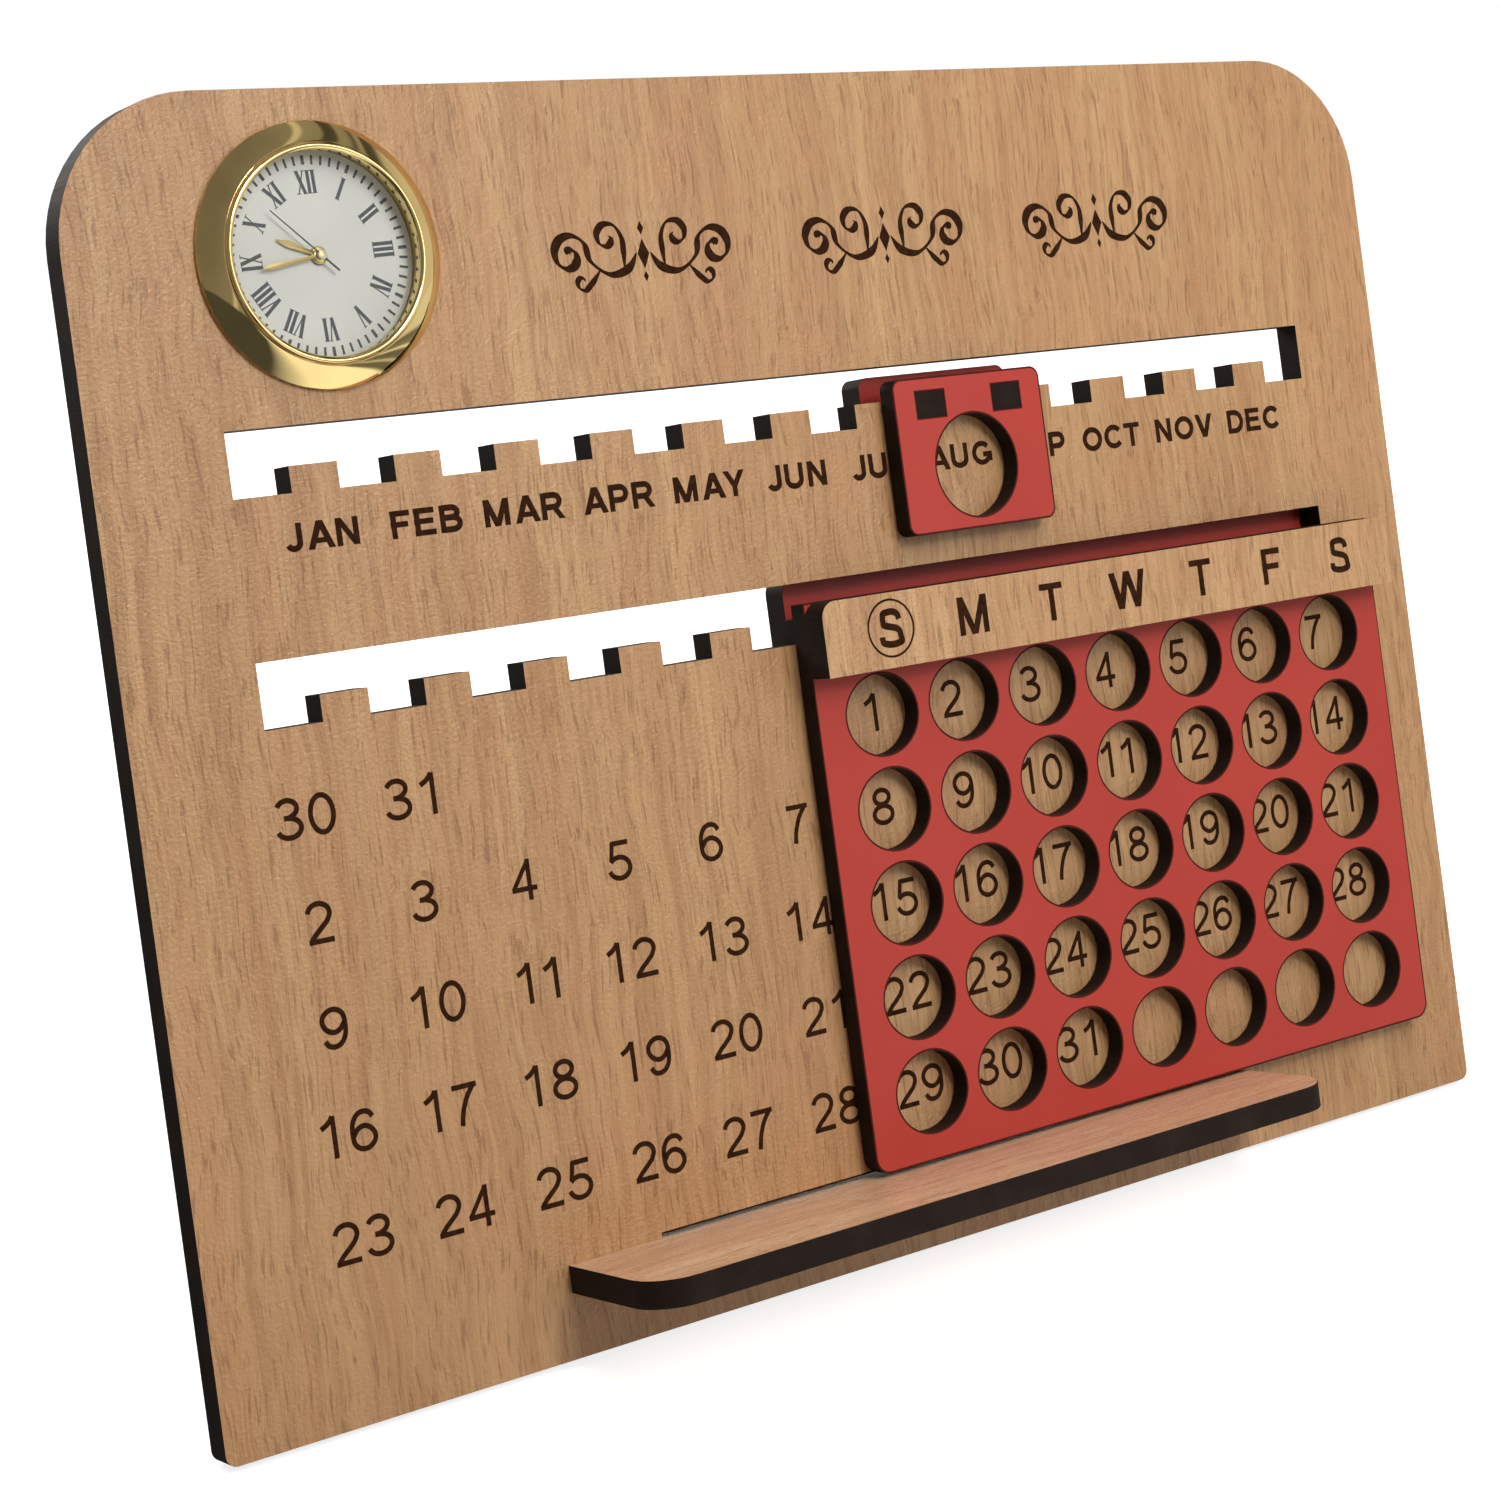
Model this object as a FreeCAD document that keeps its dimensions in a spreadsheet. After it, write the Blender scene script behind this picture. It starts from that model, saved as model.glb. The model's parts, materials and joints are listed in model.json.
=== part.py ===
import FreeCAD, Part
import math
import os
import re

import Sketcher
from FreeCAD import Placement, Rotation, Vector

# Desk clock with a perpetual calendar, in millimetres.
#
# Every piece is drawn in the board frame: u to the right and v up the panel, both from the middle of the
# panel's lower front edge, and w out of the panel's front face. One placement leans that frame back and
# stands it on the desk, with +Z up and the origin at the middle of the footprint.

os.makedirs("parts", exist_ok=True)
doc = FreeCAD.newDocument("desk_clock_calendar")
sizes = doc.addObject("Spreadsheet::Sheet", "sizes")

DIMENSIONS = {
    # stand
    "lean": 13.0,                # degrees that the panel leans back
    "panel_width": 280.0,
    "panel_height": 210.0,
    "board": 5.2,                # laminated board: panel, header and back plates
    "top_radius": 24.5,
    "bottom_radius": 2.0,
    # castellated slots
    "slot_left": -117.17,
    "pitch": 18.77,
    "notches": 13,
    "notch_width": 10.18,
    "notch_depth": 4.3,
    "slot_gap": 6.3,             # clear height over the teeth
    "month_slot_floor": 146.2,
    "date_slot_floor": 109.9,
    # ledge and its tongue
    "ledge_board": 4.6,
    "ledge_top": 15.4,
    "ledge_width": 152.4,
    "ledge_depth": 26.5,
    "ledge_radius": 8.0,
    "tongue_width": 115.0,
    "slip": 0.05,
    "mortise_gap": 0.6,          # over the tongue
    # sliders
    "red_board": 3.6,
    "play": 0.4,                 # between a slider's plates and the panel
    "peg_width": 6.6,
    "peg_height": 4.8,
    "peg_lift": 0.4,             # over the notch floor
    "slider_radius": 2.0,
    "month_u": 28.7,
    "month_width": 34.6,
    "month_base": 125.75,
    "month_height": 28.2,
    "month_back_height": 29.6,
    "month_window_v": 137.2,
    "month_window": 9.4,
    "month_peg_spread": 17.8,
    "date_u": 56.1,
    "date_width": 141.0,
    "date_base": 16.0,
    "date_height": 100.8,
    "date_columns": 7,
    "date_rows": 5,
    "row_pitch": 16.85,
    "date_row_v": 28.1,          # lowest row of windows
    "date_window": 7.85,         # half width of a window
    "date_window_up": 7.2,       # half its height
    "header_height": 13.25,
    "header_radius": 3.0,
    "bar_width": 135.2,
    "bar_top": 121.7,
    "bar_height": 22.0,
    # clock insert: places are w, negative behind the panel's front face
    "clock_u": -96.6,
    "clock_v": 183.15,
    "clock_hole": 18.05,
    "flange": 21.5,
    "flange_edge": 0.8,
    "flange_seat": 0.1,
    "bead": 17.6,
    "bead_w": 3.1,
    "bead_wire": 0.5,
    "sight": 16.45,
    "tube": 17.35,
    "tube_depth": 1.6,
    "lens": 17.1,
    "lens_w": 1.9,
    "lens_thick": 0.9,
    "dial": 17.05,
    "dial_w": -0.3,
    "dial_thick": 0.3,
    "dial_hole": 1.5,
    "case": 17.4,
    "case_wall": 0.8,
    "case_front": -1.7,
    "case_back": -9.6,
    "ring": 18.0,
    "ring_front": -2.2,
    "ring_back": -5.0,
    # hands
    "hour_time": 291.9,          # degrees clockwise from twelve
    "minute_time": 258.5,
    "second_time": 313.0,
    "hour_hand": 7.8,
    "minute_hand": 11.4,
    "second_hand": 11.0,
    "second_tail": 4.4,
    "hour_half": 0.55,
    "minute_half": 0.48,
    "second_half": 0.13,
    "hand_thick": 0.2,
    "hour_hand_w": 0.05,
    "minute_hand_w": 0.45,
    "second_hand_w": 0.85,
    # movement: plates and their places
    "plate": 16.2,
    "main_plate_w": -3.4,
    "plate_thick": 0.8,
    "bridge": 15.4,
    "bridge_w": -8.2,
    "bridge_thick": 0.5,
    # setting knob, battery and its cover, from the dial's centre
    "knob": 2.6,
    "knob_tall": 1.5,
    "cell_u": -8.3,
    "cell_v": 7.6,
    "cell": 3.4,
    "cell_thick": 2.6,
    "cell_w": -5.6,
    "cover": 4.1,
    "cover_clear": 0.1,
    "cover_slot": 4.4,
}

for row, (alias, value) in enumerate(DIMENSIONS.items(), start=1):
    sizes.set(f"A{row}", alias)
    sizes.set(f"B{row}", str(value))
    sizes.setAlias(f"B{row}", alias)
doc.recompute()

WORD = re.compile(r"[a-z_]+")


def bound(text):
    """An expression in which each dimension's name refers to its cell."""
    return WORD.sub(lambda m: f"sizes.{m[0]}" if m[0] in DIMENSIONS else m[0], str(text))


def number(text):
    """The value of an expression of the dimensions, for shapes that are not bound to the sheet."""
    values = {name: float(sizes.get(name)) for name in DIMENSIONS}
    expression = WORD.sub(lambda m: repr(values.get(m[0], m[0])), str(text))
    return float(FreeCAD.Units.Quantity(expression).Value)


# The panel's rear lower edge and the tongue's rear edge stand on the desk. The footprint's middle lies
# between the ledge's front edge and the upper back edge of the clock's case.
FRONT_REACH = "((ledge_top - ledge_board) * sin(lean) - ledge_depth * cos(lean))"
BACK_REACH = "((clock_v + case) * sin(lean) - case_back * cos(lean))"
STAND = {
    "Placement.Rotation.Angle": "90 - lean",
    "Placement.Base.y": f"-({FRONT_REACH} + {BACK_REACH}) / 2",
    "Placement.Base.z": "board * sin(lean)",
}
kept = []


def stand_up(piece):
    """Name a finished piece, and put the board frame on the desk."""
    piece.Label = piece.Name
    piece.Placement = Placement(Vector(), Rotation(Vector(1, 0, 0), 1))
    for path, text in STAND.items():
        piece.setExpression(path, bound(text))
    kept.append(piece)
    return piece


# Sketched pieces ------------------------------------------------------------------------------------


def new_body(name):
    body = doc.addObject("PartDesign::Body", name)
    return stand_up(body)


def new_sketch(body, name, u=0, v=0, w=0, turn=0):
    """An empty sketch parallel to the panel, with its origin at u, v, w."""
    sketch = body.newObject("Sketcher::SketchObject", f"{body.Name}_{name}")
    front = next(f for f in body.Origin.OriginFeatures if f.Role == "XY_Plane")
    sketch.AttachmentSupport = [(front, "")]
    sketch.MapMode = "FlatFace"
    sketch.AttachmentOffset = Placement(Vector(), Rotation(Vector(0, 0, 1), 1))
    for path, text in (("Base.x", u), ("Base.y", v), ("Base.z", w), ("Rotation.Angle", turn)):
        sketch.setExpression(f"AttachmentOffset.{path}", bound(text))
    return sketch


def add_polygon(sketch, corners):
    """A closed outline whose corners are pairs of expressions."""
    start = sketch.GeometryCount
    count = len(corners)
    points = [Vector(number(x), number(y), 0) for x, y in corners]
    for i, point in enumerate(points):
        sketch.addGeometry(Part.LineSegment(point, points[(i + 1) % count]), False)
    for i in range(count):
        following = start + (i + 1) % count
        sketch.addConstraint(Sketcher.Constraint("Coincident", start + i, 2, following, 1))
    for i, (point, corner) in enumerate(zip(points, corners)):
        for kind, value, text in zip(("DistanceX", "DistanceY"), point, corner):
            limit = sketch.addConstraint(Sketcher.Constraint(kind, -1, 1, start + i, 1, value))
            sketch.setExpression(f"Constraints[{limit}]", bound(text))


def add_rectangle(sketch, left, right, low, high):
    add_polygon(sketch, [(left, low), (right, low), (right, high), (left, high)])


def add_circle(sketch, radius, x=0, y=0):
    circle = Part.Circle(Vector(number(x), number(y), 0), Vector(0, 0, 1), number(radius))
    index = sketch.addGeometry(circle, False)
    for kind, value, text in (("DistanceX", number(x), x), ("DistanceY", number(y), y)):
        place = sketch.addConstraint(Sketcher.Constraint(kind, -1, 1, index, 3, value))
        sketch.setExpression(f"Constraints[{place}]", bound(text))
    limit = sketch.addConstraint(Sketcher.Constraint("Radius", index, number(radius)))
    sketch.setExpression(f"Constraints[{limit}]", bound(radius))


def add_ellipse(sketch, across, up):
    """An ellipse round the sketch's origin; across is half its width and up is half its height."""
    a, b = number(across), number(up)
    index = sketch.addGeometry(Part.Ellipse(Vector(a, 0, 0), Vector(0, b, 0), Vector()), False)
    sketch.exposeInternalGeometry(index)
    sketch.addConstraint(Sketcher.Constraint("Coincident", index, 3, -1, 1))
    axes = [index + 1, index + 2]
    sketch.addConstraint(Sketcher.Constraint("Horizontal", axes[0]))
    for axis, half, text in zip(axes, (a, b), (across, up)):
        limit = sketch.addConstraint(Sketcher.Constraint("Distance", axis, 2 * half))
        sketch.setExpression(f"Constraints[{limit}]", bound(f"2 * {text}"))


def pad(body, sketch, thickness, backward=False):
    feature = body.newObject("PartDesign::Pad", f"{sketch.Name}_pad")
    feature.Profile = sketch
    feature.setExpression("Length", bound(thickness))
    feature.Reversed = backward
    sketch.Visibility = False
    doc.recompute()
    return feature


def pocket(body, sketch, depth):
    """Cut from the sketch's plane backward, and make sure that something went."""
    before = body.Shape.Volume
    feature = body.newObject("PartDesign::Pocket", f"{sketch.Name}_pocket")
    feature.Profile = sketch
    feature.setExpression("Length", bound(depth))
    sketch.Visibility = False
    doc.recompute()
    if body.Shape.Volume > before - 0.01:
        raise RuntimeError(f"{feature.Name} cut nothing")
    return feature


def repeat(body, feature, direction, spacing, times):
    """Repeat a feature along the board's u or v axis."""
    pattern = body.newObject("PartDesign::LinearPattern", f"{feature.Name}_{direction[0]}_row")
    pattern.Originals = [feature]
    axis = next(f for f in body.Origin.OriginFeatures if f.Role == direction)
    pattern.Direction = (axis, [""])
    pattern.setExpression("Length", bound(f"({spacing}) * ({times} - 1)"))
    pattern.setExpression("Occurrences", bound(times))
    body.Tip = pattern
    doc.recompute()
    return pattern


def round_corners(body, feature, radius, places):
    """Fillet the edges along w that stand at the given pairs of u and v expressions."""
    wanted = [(number(u), number(v)) for u, v in places]
    names = []
    for i, edge in enumerate(feature.Shape.Edges, start=1):
        box = edge.BoundBox
        upright = box.XLength < 1e-6 and box.YLength < 1e-6
        if upright and any(math.hypot(box.XMin - u, box.YMin - v) < 0.01 for u, v in wanted):
            names.append(f"Edge{i}")
    if len(names) != len(wanted):
        raise RuntimeError(f"{body.Name}: {len(names)} of {len(wanted)} corners found")
    fillet = body.newObject("PartDesign::Fillet", f"{feature.Name}_round_{len(body.Group)}")
    fillet.Base = (feature, names)
    fillet.setExpression("Radius", bound(radius))
    doc.recompute()
    return fillet


def plate(name, left, right, low, high, back, thickness, radius=None, corners="lower upper"):
    """A rectangular plate from w = back forward, with its lower and upper corners rounded."""
    body = new_body(name)
    sketch = new_sketch(body, "outline", w=back)
    add_rectangle(sketch, left, right, low, high)
    solid = pad(body, sketch, thickness)
    rows = [v for word, v in (("lower", low), ("upper", high)) if word in corners]
    if radius:
        round_corners(body, solid, radius, [(u, v) for v in rows for u in (left, right)])
    return body


def front_panel():
    left, right = "-panel_width / 2", "panel_width / 2"
    body = new_body("front_panel")
    outline = new_sketch(body, "outline")
    add_rectangle(outline, left, right, 0, "panel_height")
    solid = pad(body, outline, "board", backward=True)
    solid = round_corners(body, solid, "top_radius", [(left, "panel_height"), (right, "panel_height")])
    round_corners(body, solid, "bottom_radius", [(left, 0), (right, 0)])
    for row in ("month", "date"):
        floor = f"{row}_slot_floor"
        gap = new_sketch(body, f"{row}_gap", "slot_left", f"{floor} + notch_depth")
        add_rectangle(gap, 0, "(notches - 1) * pitch + notch_width", 0, "slot_gap")
        pocket(body, gap, "board")
        notch = new_sketch(body, f"{row}_notch", "slot_left", floor)
        add_rectangle(notch, 0, "notch_width", 0, "notch_depth + slot_gap / 2")
        repeat(body, pocket(body, notch, "board"), "X_Axis", "pitch", "notches")
    hole = new_sketch(body, "clock_hole", "clock_u", "clock_v")
    add_circle(hole, "clock_hole")
    pocket(body, hole, "board")
    mortise = new_sketch(body, "mortise", 0, "ledge_top")
    half = "(tongue_width / 2 + slip)"
    add_rectangle(mortise, f"-{half}", half, "-ledge_board - slip", "mortise_gap")
    pocket(body, mortise, "board")


def ledge_plate():
    """A shelf square to the panel, whose tongue goes back through the mortise and stands on the desk."""
    body = new_body("ledge_plate")
    shelf = new_sketch(body, "shelf")
    half = "ledge_width / 2"
    add_rectangle(shelf, f"-{half}", half, "ledge_top - ledge_board", "ledge_top")
    solid = pad(body, shelf, "ledge_depth")
    names = []
    for i, edge in enumerate(solid.Shape.Edges, start=1):
        box = edge.BoundBox
        at_front = box.ZMin > number("ledge_depth") - 0.01
        if at_front and box.YLength > 1 and box.XLength < 0.01:
            names.append(f"Edge{i}")
    fillet = body.newObject("PartDesign::Fillet", "ledge_corners")
    fillet.Base = (solid, names)
    fillet.setExpression("Radius", bound("ledge_radius"))
    doc.recompute()
    tongue = new_sketch(body, "tongue")
    half = "tongue_width / 2"
    add_rectangle(tongue, f"-{half}", half, "ledge_top - ledge_board", "ledge_top")
    pad(body, tongue, "board + (ledge_top - ledge_board) / tan(lean)", backward=True)


def date_windows(body, u, face):
    """Rows and columns of windows, each a little wider than it is high."""
    window = new_sketch(body, "window", u, "date_row_v", face)
    add_ellipse(window, "date_window", "date_window_up")
    cut = pocket(body, window, "red_board")
    grid = body.newObject("PartDesign::MultiTransform", "date_window_grid")
    body.Tip = grid
    grid.Originals = [cut]
    steps = []
    for role, spacing, times in (("X_Axis", "pitch", "date_columns"), ("Y_Axis", "row_pitch", "date_rows")):
        step = body.newObject("PartDesign::LinearPattern", f"date_windows_along_{role[0]}")
        step.Direction = (next(f for f in body.Origin.OriginFeatures if f.Role == role), [""])
        step.setExpression("Length", bound(f"{spacing} * ({times} - 1)"))
        step.setExpression("Occurrences", bound(times))
        steps.append(step)
    grid.Transformations = steps
    body.Tip = grid
    doc.recompute()


def pegs(name, centres, low, front):
    """Pegs that join a slider's front and back plates through the slot, as separate solids."""
    group = []
    for i, centre in enumerate(centres, start=1):
        peg = doc.addObject("Part::Box", f"{name}_{i}")
        for path, text in (
            ("Length", "peg_width"),
            ("Width", "peg_height"),
            ("Height", f"({front}) + 2 * board + play"),
            ("Placement.Base.x", f"{centre} - peg_width / 2"),
            ("Placement.Base.y", low),
            ("Placement.Base.z", "-2 * board - play"),
        ):
            peg.setExpression(path, bound(text))
        group.append(peg)
    both = doc.addObject("Part::Compound", name)
    both.Links = group
    stand_up(both)
    doc.recompute()


def peg_hole_sketch(body, centres, low, w):
    sketch = new_sketch(body, "peg_holes", w=w)
    for centre in centres:
        add_rectangle(
            sketch, f"{centre} - peg_width / 2", f"{centre} + peg_width / 2", low, f"{low} + peg_height"
        )
    return sketch


def month_slider():
    left, right = "month_u - month_width / 2", "month_u + month_width / 2"
    top = "month_base + month_height"
    low = "(month_slot_floor + peg_lift)"
    face = "play + red_board"
    centres = ["(month_u - month_peg_spread / 2)", "(month_u + month_peg_spread / 2)"]
    front = plate("month_front_plate", left, right, "month_base", top, "play", "red_board", "slider_radius")
    pocket(front, peg_hole_sketch(front, centres, low, face), "red_board")
    window = new_sketch(front, "window", "month_u", "month_window_v", face)
    add_circle(window, "month_window")
    pocket(front, window, "red_board")
    rear = "-2 * board - play"
    back = plate(
        "month_back_plate",
        left,
        right,
        "month_base",
        "month_base + month_back_height",
        rear,
        "board",
        "slider_radius",
    )
    pocket(back, peg_hole_sketch(back, centres, low, f"{rear} + board"), "board")
    pegs("month_pegs", centres, low, face)


def date_slider():
    left, right = "date_u - date_width / 2", "date_u + date_width / 2"
    top = "date_base + date_height"
    low = "(date_slot_floor + peg_lift)"
    face = "play + red_board"
    span = "(date_columns - 1) * pitch / 2"
    centres = [f"(date_u - {span})", f"(date_u + {span})"]
    front = plate(
        "date_front_plate", left, right, "date_base", top, "play", "red_board", "header_radius", "lower"
    )
    pocket(front, peg_hole_sketch(front, centres, low, face), "red_board")
    date_windows(front, f"date_u - {span}", face)
    plate(
        "date_header_strip",
        left,
        right,
        f"{top} - header_height",
        top,
        face,
        "board",
        "header_radius",
        "upper",
    )
    rear = "-2 * board - play"
    back = plate(
        "date_back_bar",
        "date_u - bar_width / 2",
        "date_u + bar_width / 2",
        "bar_top - bar_height",
        "bar_top",
        rear,
        "board",
        "header_radius",
    )
    pocket(back, peg_hole_sketch(back, centres, low, f"{rear} + board"), "board")
    pegs("date_pegs", centres, low, face)


# Clock insert: turned pieces ------------------------------------------------------------------------


def disc(name, radius, back, thickness, bore=None, holes=()):
    """A disc on the clock's axis; holes are (u, v, radius) from that axis."""
    body = new_body(name)
    sketch = new_sketch(body, "outline", "clock_u", "clock_v", back)
    add_circle(sketch, radius)
    if bore:
        add_circle(sketch, bore)
    for u, v, hole in holes:
        add_circle(sketch, hole, u, v)
    pad(body, sketch, thickness)
    return body


def turned(kind, name, back, **radii):
    """A cylinder, cone or torus on the clock's axis."""
    solid = doc.addObject(f"Part::{kind}", name)
    for path, text in radii.items():
        solid.setExpression(path, bound(text))
    for path, text in (("x", "clock_u"), ("y", "clock_v"), ("z", back)):
        solid.setExpression(f"Placement.Base.{path}", bound(text))
    return solid


def combine(kind, name, pieces):
    result = doc.addObject(f"Part::{kind}", name)
    if kind == "Cut":
        result.Base, result.Tool = pieces
    else:
        result.Shapes = pieces
    return result


def clock_bezel():
    """A flange that slopes up to a rounded bead, with a tube that goes back into the panel's hole."""
    flange = turned("Cylinder", "flange_disc", "flange_seat", Radius="flange", Height="flange_edge")
    slope = turned(
        "Cone",
        "flange_slope",
        "flange_seat + flange_edge",
        Radius1="flange",
        Radius2="bead",
        Height="bead_w - flange_seat - flange_edge",
    )
    bead = turned("Torus", "flange_bead", "bead_w", Radius1="bead - bead_wire", Radius2="bead_wire")
    tube = turned("Cylinder", "bezel_tube", "-tube_depth", Radius="tube", Height="tube_depth + flange_edge")
    outside = combine("MultiFuse", "bezel_outside", [flange, slope, bead, tube])
    sight = turned("Cylinder", "bezel_sight", "lens_w", Radius="sight", Height="bead_w")
    seat = turned(
        "Cylinder", "bezel_seat", "-tube_depth", Radius="lens", Height="tube_depth + lens_w + lens_thick"
    )
    inside = combine("MultiFuse", "bezel_inside", [sight, seat])
    stand_up(combine("Cut", "clock_bezel", [outside, inside]))
    doc.recompute()


def clock_case():
    """A cup with openings in its floor for the setting stem and the battery."""
    body = new_body("clock_case")
    wall = new_sketch(body, "wall", "clock_u", "clock_v", "case_back")
    add_circle(wall, "case")
    pad(body, wall, "case_front - case_back")
    inside = new_sketch(body, "inside", "clock_u", "clock_v", "case_front")
    add_circle(inside, "case - case_wall")
    pocket(body, inside, "case_front - case_back - case_wall")
    openings = new_sketch(body, "openings", "clock_u", "clock_v", "case_back + case_wall")
    add_circle(openings, STEM_BORE, *KNOB_PLACE)
    add_circle(openings, "cover + cover_clear", "cell_u", "cell_v")
    pocket(body, openings, "case_wall")


def battery_cover():
    """A round lid with a coin slot."""
    body = new_body("battery_cover")
    lid = new_sketch(body, "lid", "clock_u + cell_u", "clock_v + cell_v", "case_back")
    add_circle(lid, "cover")
    pad(body, lid, "case_wall")
    before = body.Shape.Volume
    slot = new_sketch(body, "coin_slot", "clock_u + cell_u", "clock_v + cell_v", "case_back")
    add_rectangle(slot, "-cover_slot / 2", "cover_slot / 2", "-case_wall / 2", "case_wall / 2")
    feature = body.newObject("PartDesign::Pocket", "coin_slot_pocket")
    feature.Profile = slot
    feature.Reversed = True
    feature.setExpression("Length", bound("case_wall / 2"))
    doc.recompute()
    if body.Shape.Volume > before - 0.01:
        raise RuntimeError("the coin slot cut nothing")


# Hands ----------------------------------------------------------------------------------------------


def hand(name, time, back, corners, eye, bore):
    """A flat hand with a round eye, turned clockwise from twelve."""
    body = new_body(name)
    blade = new_sketch(body, "blade", "clock_u", "clock_v", back, f"-{time}")
    add_polygon(blade, corners)
    pad(body, blade, "hand_thick")
    boss = new_sketch(body, "eye", "clock_u", "clock_v", back)
    add_circle(boss, eye)
    pad(body, boss, "hand_thick")
    if bore:
        hole = new_sketch(body, "bore", "clock_u", "clock_v", f"{back} + hand_thick")
        add_circle(hole, bore)
        pocket(body, hole, "hand_thick")


def hands():
    for name, bore in (("hour", HOUR_PIPE), ("minute", CANNON_PIPE)):
        half, reach = f"{name}_half", f"{name}_hand"
        corners = [
            (f"-{half} * 0.6", 0),
            (f"{half} * 0.6", 0),
            (half, f"{reach} * 0.78"),
            (0, reach),
            (f"-{half}", f"{reach} * 0.78"),
        ]
        hand(f"{name}_hand", f"{name}_time", f"{name}_hand_w", corners, bore + EYE_WALL, bore)
    half = "second_half"
    corners = [
        (f"-{half} * 1.6", "-second_tail"),
        (f"{half} * 1.6", "-second_tail"),
        (half, 0),
        (f"{half} * 0.7", "second_hand"),
        (f"-{half} * 0.7", "second_hand"),
        (f"-{half}", 0),
    ]
    hand("second_hand", "second_time", "second_hand_w", corners, SECOND_ARBOR + EYE_WALL, SECOND_ARBOR)


# Movement -------------------------------------------------------------------------------------------
# Wheel train: rotor 10 / intermediate 60, 12 / seconds 60, 8 / third 60, 8 / centre 64, which gives one
# turn of the centre wheel for 60 of the seconds wheel. Motion work: cannon pinion 12 / minute wheel 36,
# 10 / hour wheel 40, which gives one turn of the hour wheel for 12 of the cannon pinion.

FINE = 0.16
CENTRE_MODULE = FINE * (8 + 60) / (8 + 64)
MOTION_MODULE = 0.2
HOUR_MODULE = MOTION_MODULE * (12 + 36) / (10 + 40)
ARBOR = 0.3
SECOND_ARBOR = 0.3
CANNON_BORE = 0.36
CANNON_PIPE = 0.75
HOUR_BORE = 0.81
HOUR_PIPE = 1.15
RUNNING = 0.03
EYE_WALL = 0.45
STEM = 0.6
STEM_BORE = 0.65
ADDENDUM = 0.85
DEDENDUM = 1.15
ROOT_SHARE = 0.50
PITCH_SHARE = 0.40
TIP_SHARE = 0.18


def polar(distance, degrees, start=(0, 0)):
    angle = math.radians(degrees)
    return (start[0] + distance * math.cos(angle), start[1] + distance * math.sin(angle))


THIRD_ANGLE = 200
INTERMEDIATE_ANGLE = 330
ROTOR_ANGLE = 20
MINUTE_ANGLE = 270
KNOB_ANGLE = 225
CENTRE_PLACE = (0, 0)
THIRD_PLACE = polar(FINE * 34, THIRD_ANGLE)
INTERMEDIATE_PLACE = polar(FINE * 36, INTERMEDIATE_ANGLE)
ROTOR_PLACE = polar(FINE * 35, ROTOR_ANGLE, INTERMEDIATE_PLACE)
MINUTE_PLACE = polar(MOTION_MODULE * 24, MINUTE_ANGLE)
KNOB_PLACE = polar(MOTION_MODULE * 24, KNOB_ANGLE, MINUTE_PLACE)


def on_clock(place, w):
    """A point given from the dial's centre, in the board frame."""
    return Vector(number("clock_u") + place[0], number("clock_v") + place[1], w)


def rod(place, radius, back, front, bore=0):
    solid = Part.makeCylinder(radius, front - back, on_clock(place, back))
    if bore:
        solid = solid.cut(Part.makeCylinder(bore, front - back, on_clock(place, back)))
    return solid


def toothed(teeth, module, place, back, front, first_tooth, bore=0):
    """A wheel whose first tooth points at the given angle; each tooth narrows from root to tip."""
    radius = teeth * module / 2
    flanks = (
        (radius - DEDENDUM * module, -ROOT_SHARE),
        (radius, -PITCH_SHARE),
        (radius + ADDENDUM * module, -TIP_SHARE),
        (radius + ADDENDUM * module, TIP_SHARE),
        (radius, PITCH_SHARE),
        (radius - DEDENDUM * module, ROOT_SHARE),
    )
    centre = on_clock(place, back)
    corners = []
    for tooth in range(teeth):
        for distance, share in flanks:
            angle = math.radians(first_tooth + (tooth + share / 2) * 360 / teeth)
            corners.append(centre + Vector(math.cos(angle), math.sin(angle), 0) * distance)
    distinct = [p for p, q in zip(corners, corners[1:] + corners[:1]) if p.distanceToPoint(q) > 1e-4]
    face = Part.Face(Part.makePolygon(distinct + distinct[:1]))
    solid = face.extrude(Vector(0, 0, front - back))
    if bore:
        solid = solid.cut(Part.makeCylinder(bore, front - back, centre))
    return solid


def made(name, shape):
    """A shape that was worked out here, as a feature of the document."""
    feature = doc.addObject("Part::Feature", name)
    feature.Shape = shape.removeSplitter()
    return stand_up(feature)


def fused(*solids):
    return solids[0].fuse(list(solids[1:]))


def facing(teeth, angle, first_tooth_other, teeth_other):
    """First tooth's angle for a wheel that meets another, which lies at the given angle from it."""
    step, other_step = 360 / teeth, 360 / teeth_other
    from_other = (angle + 180 - first_tooth_other) / other_step
    phase = from_other - math.floor(from_other)
    return angle + (phase + 0.5) * step


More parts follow.
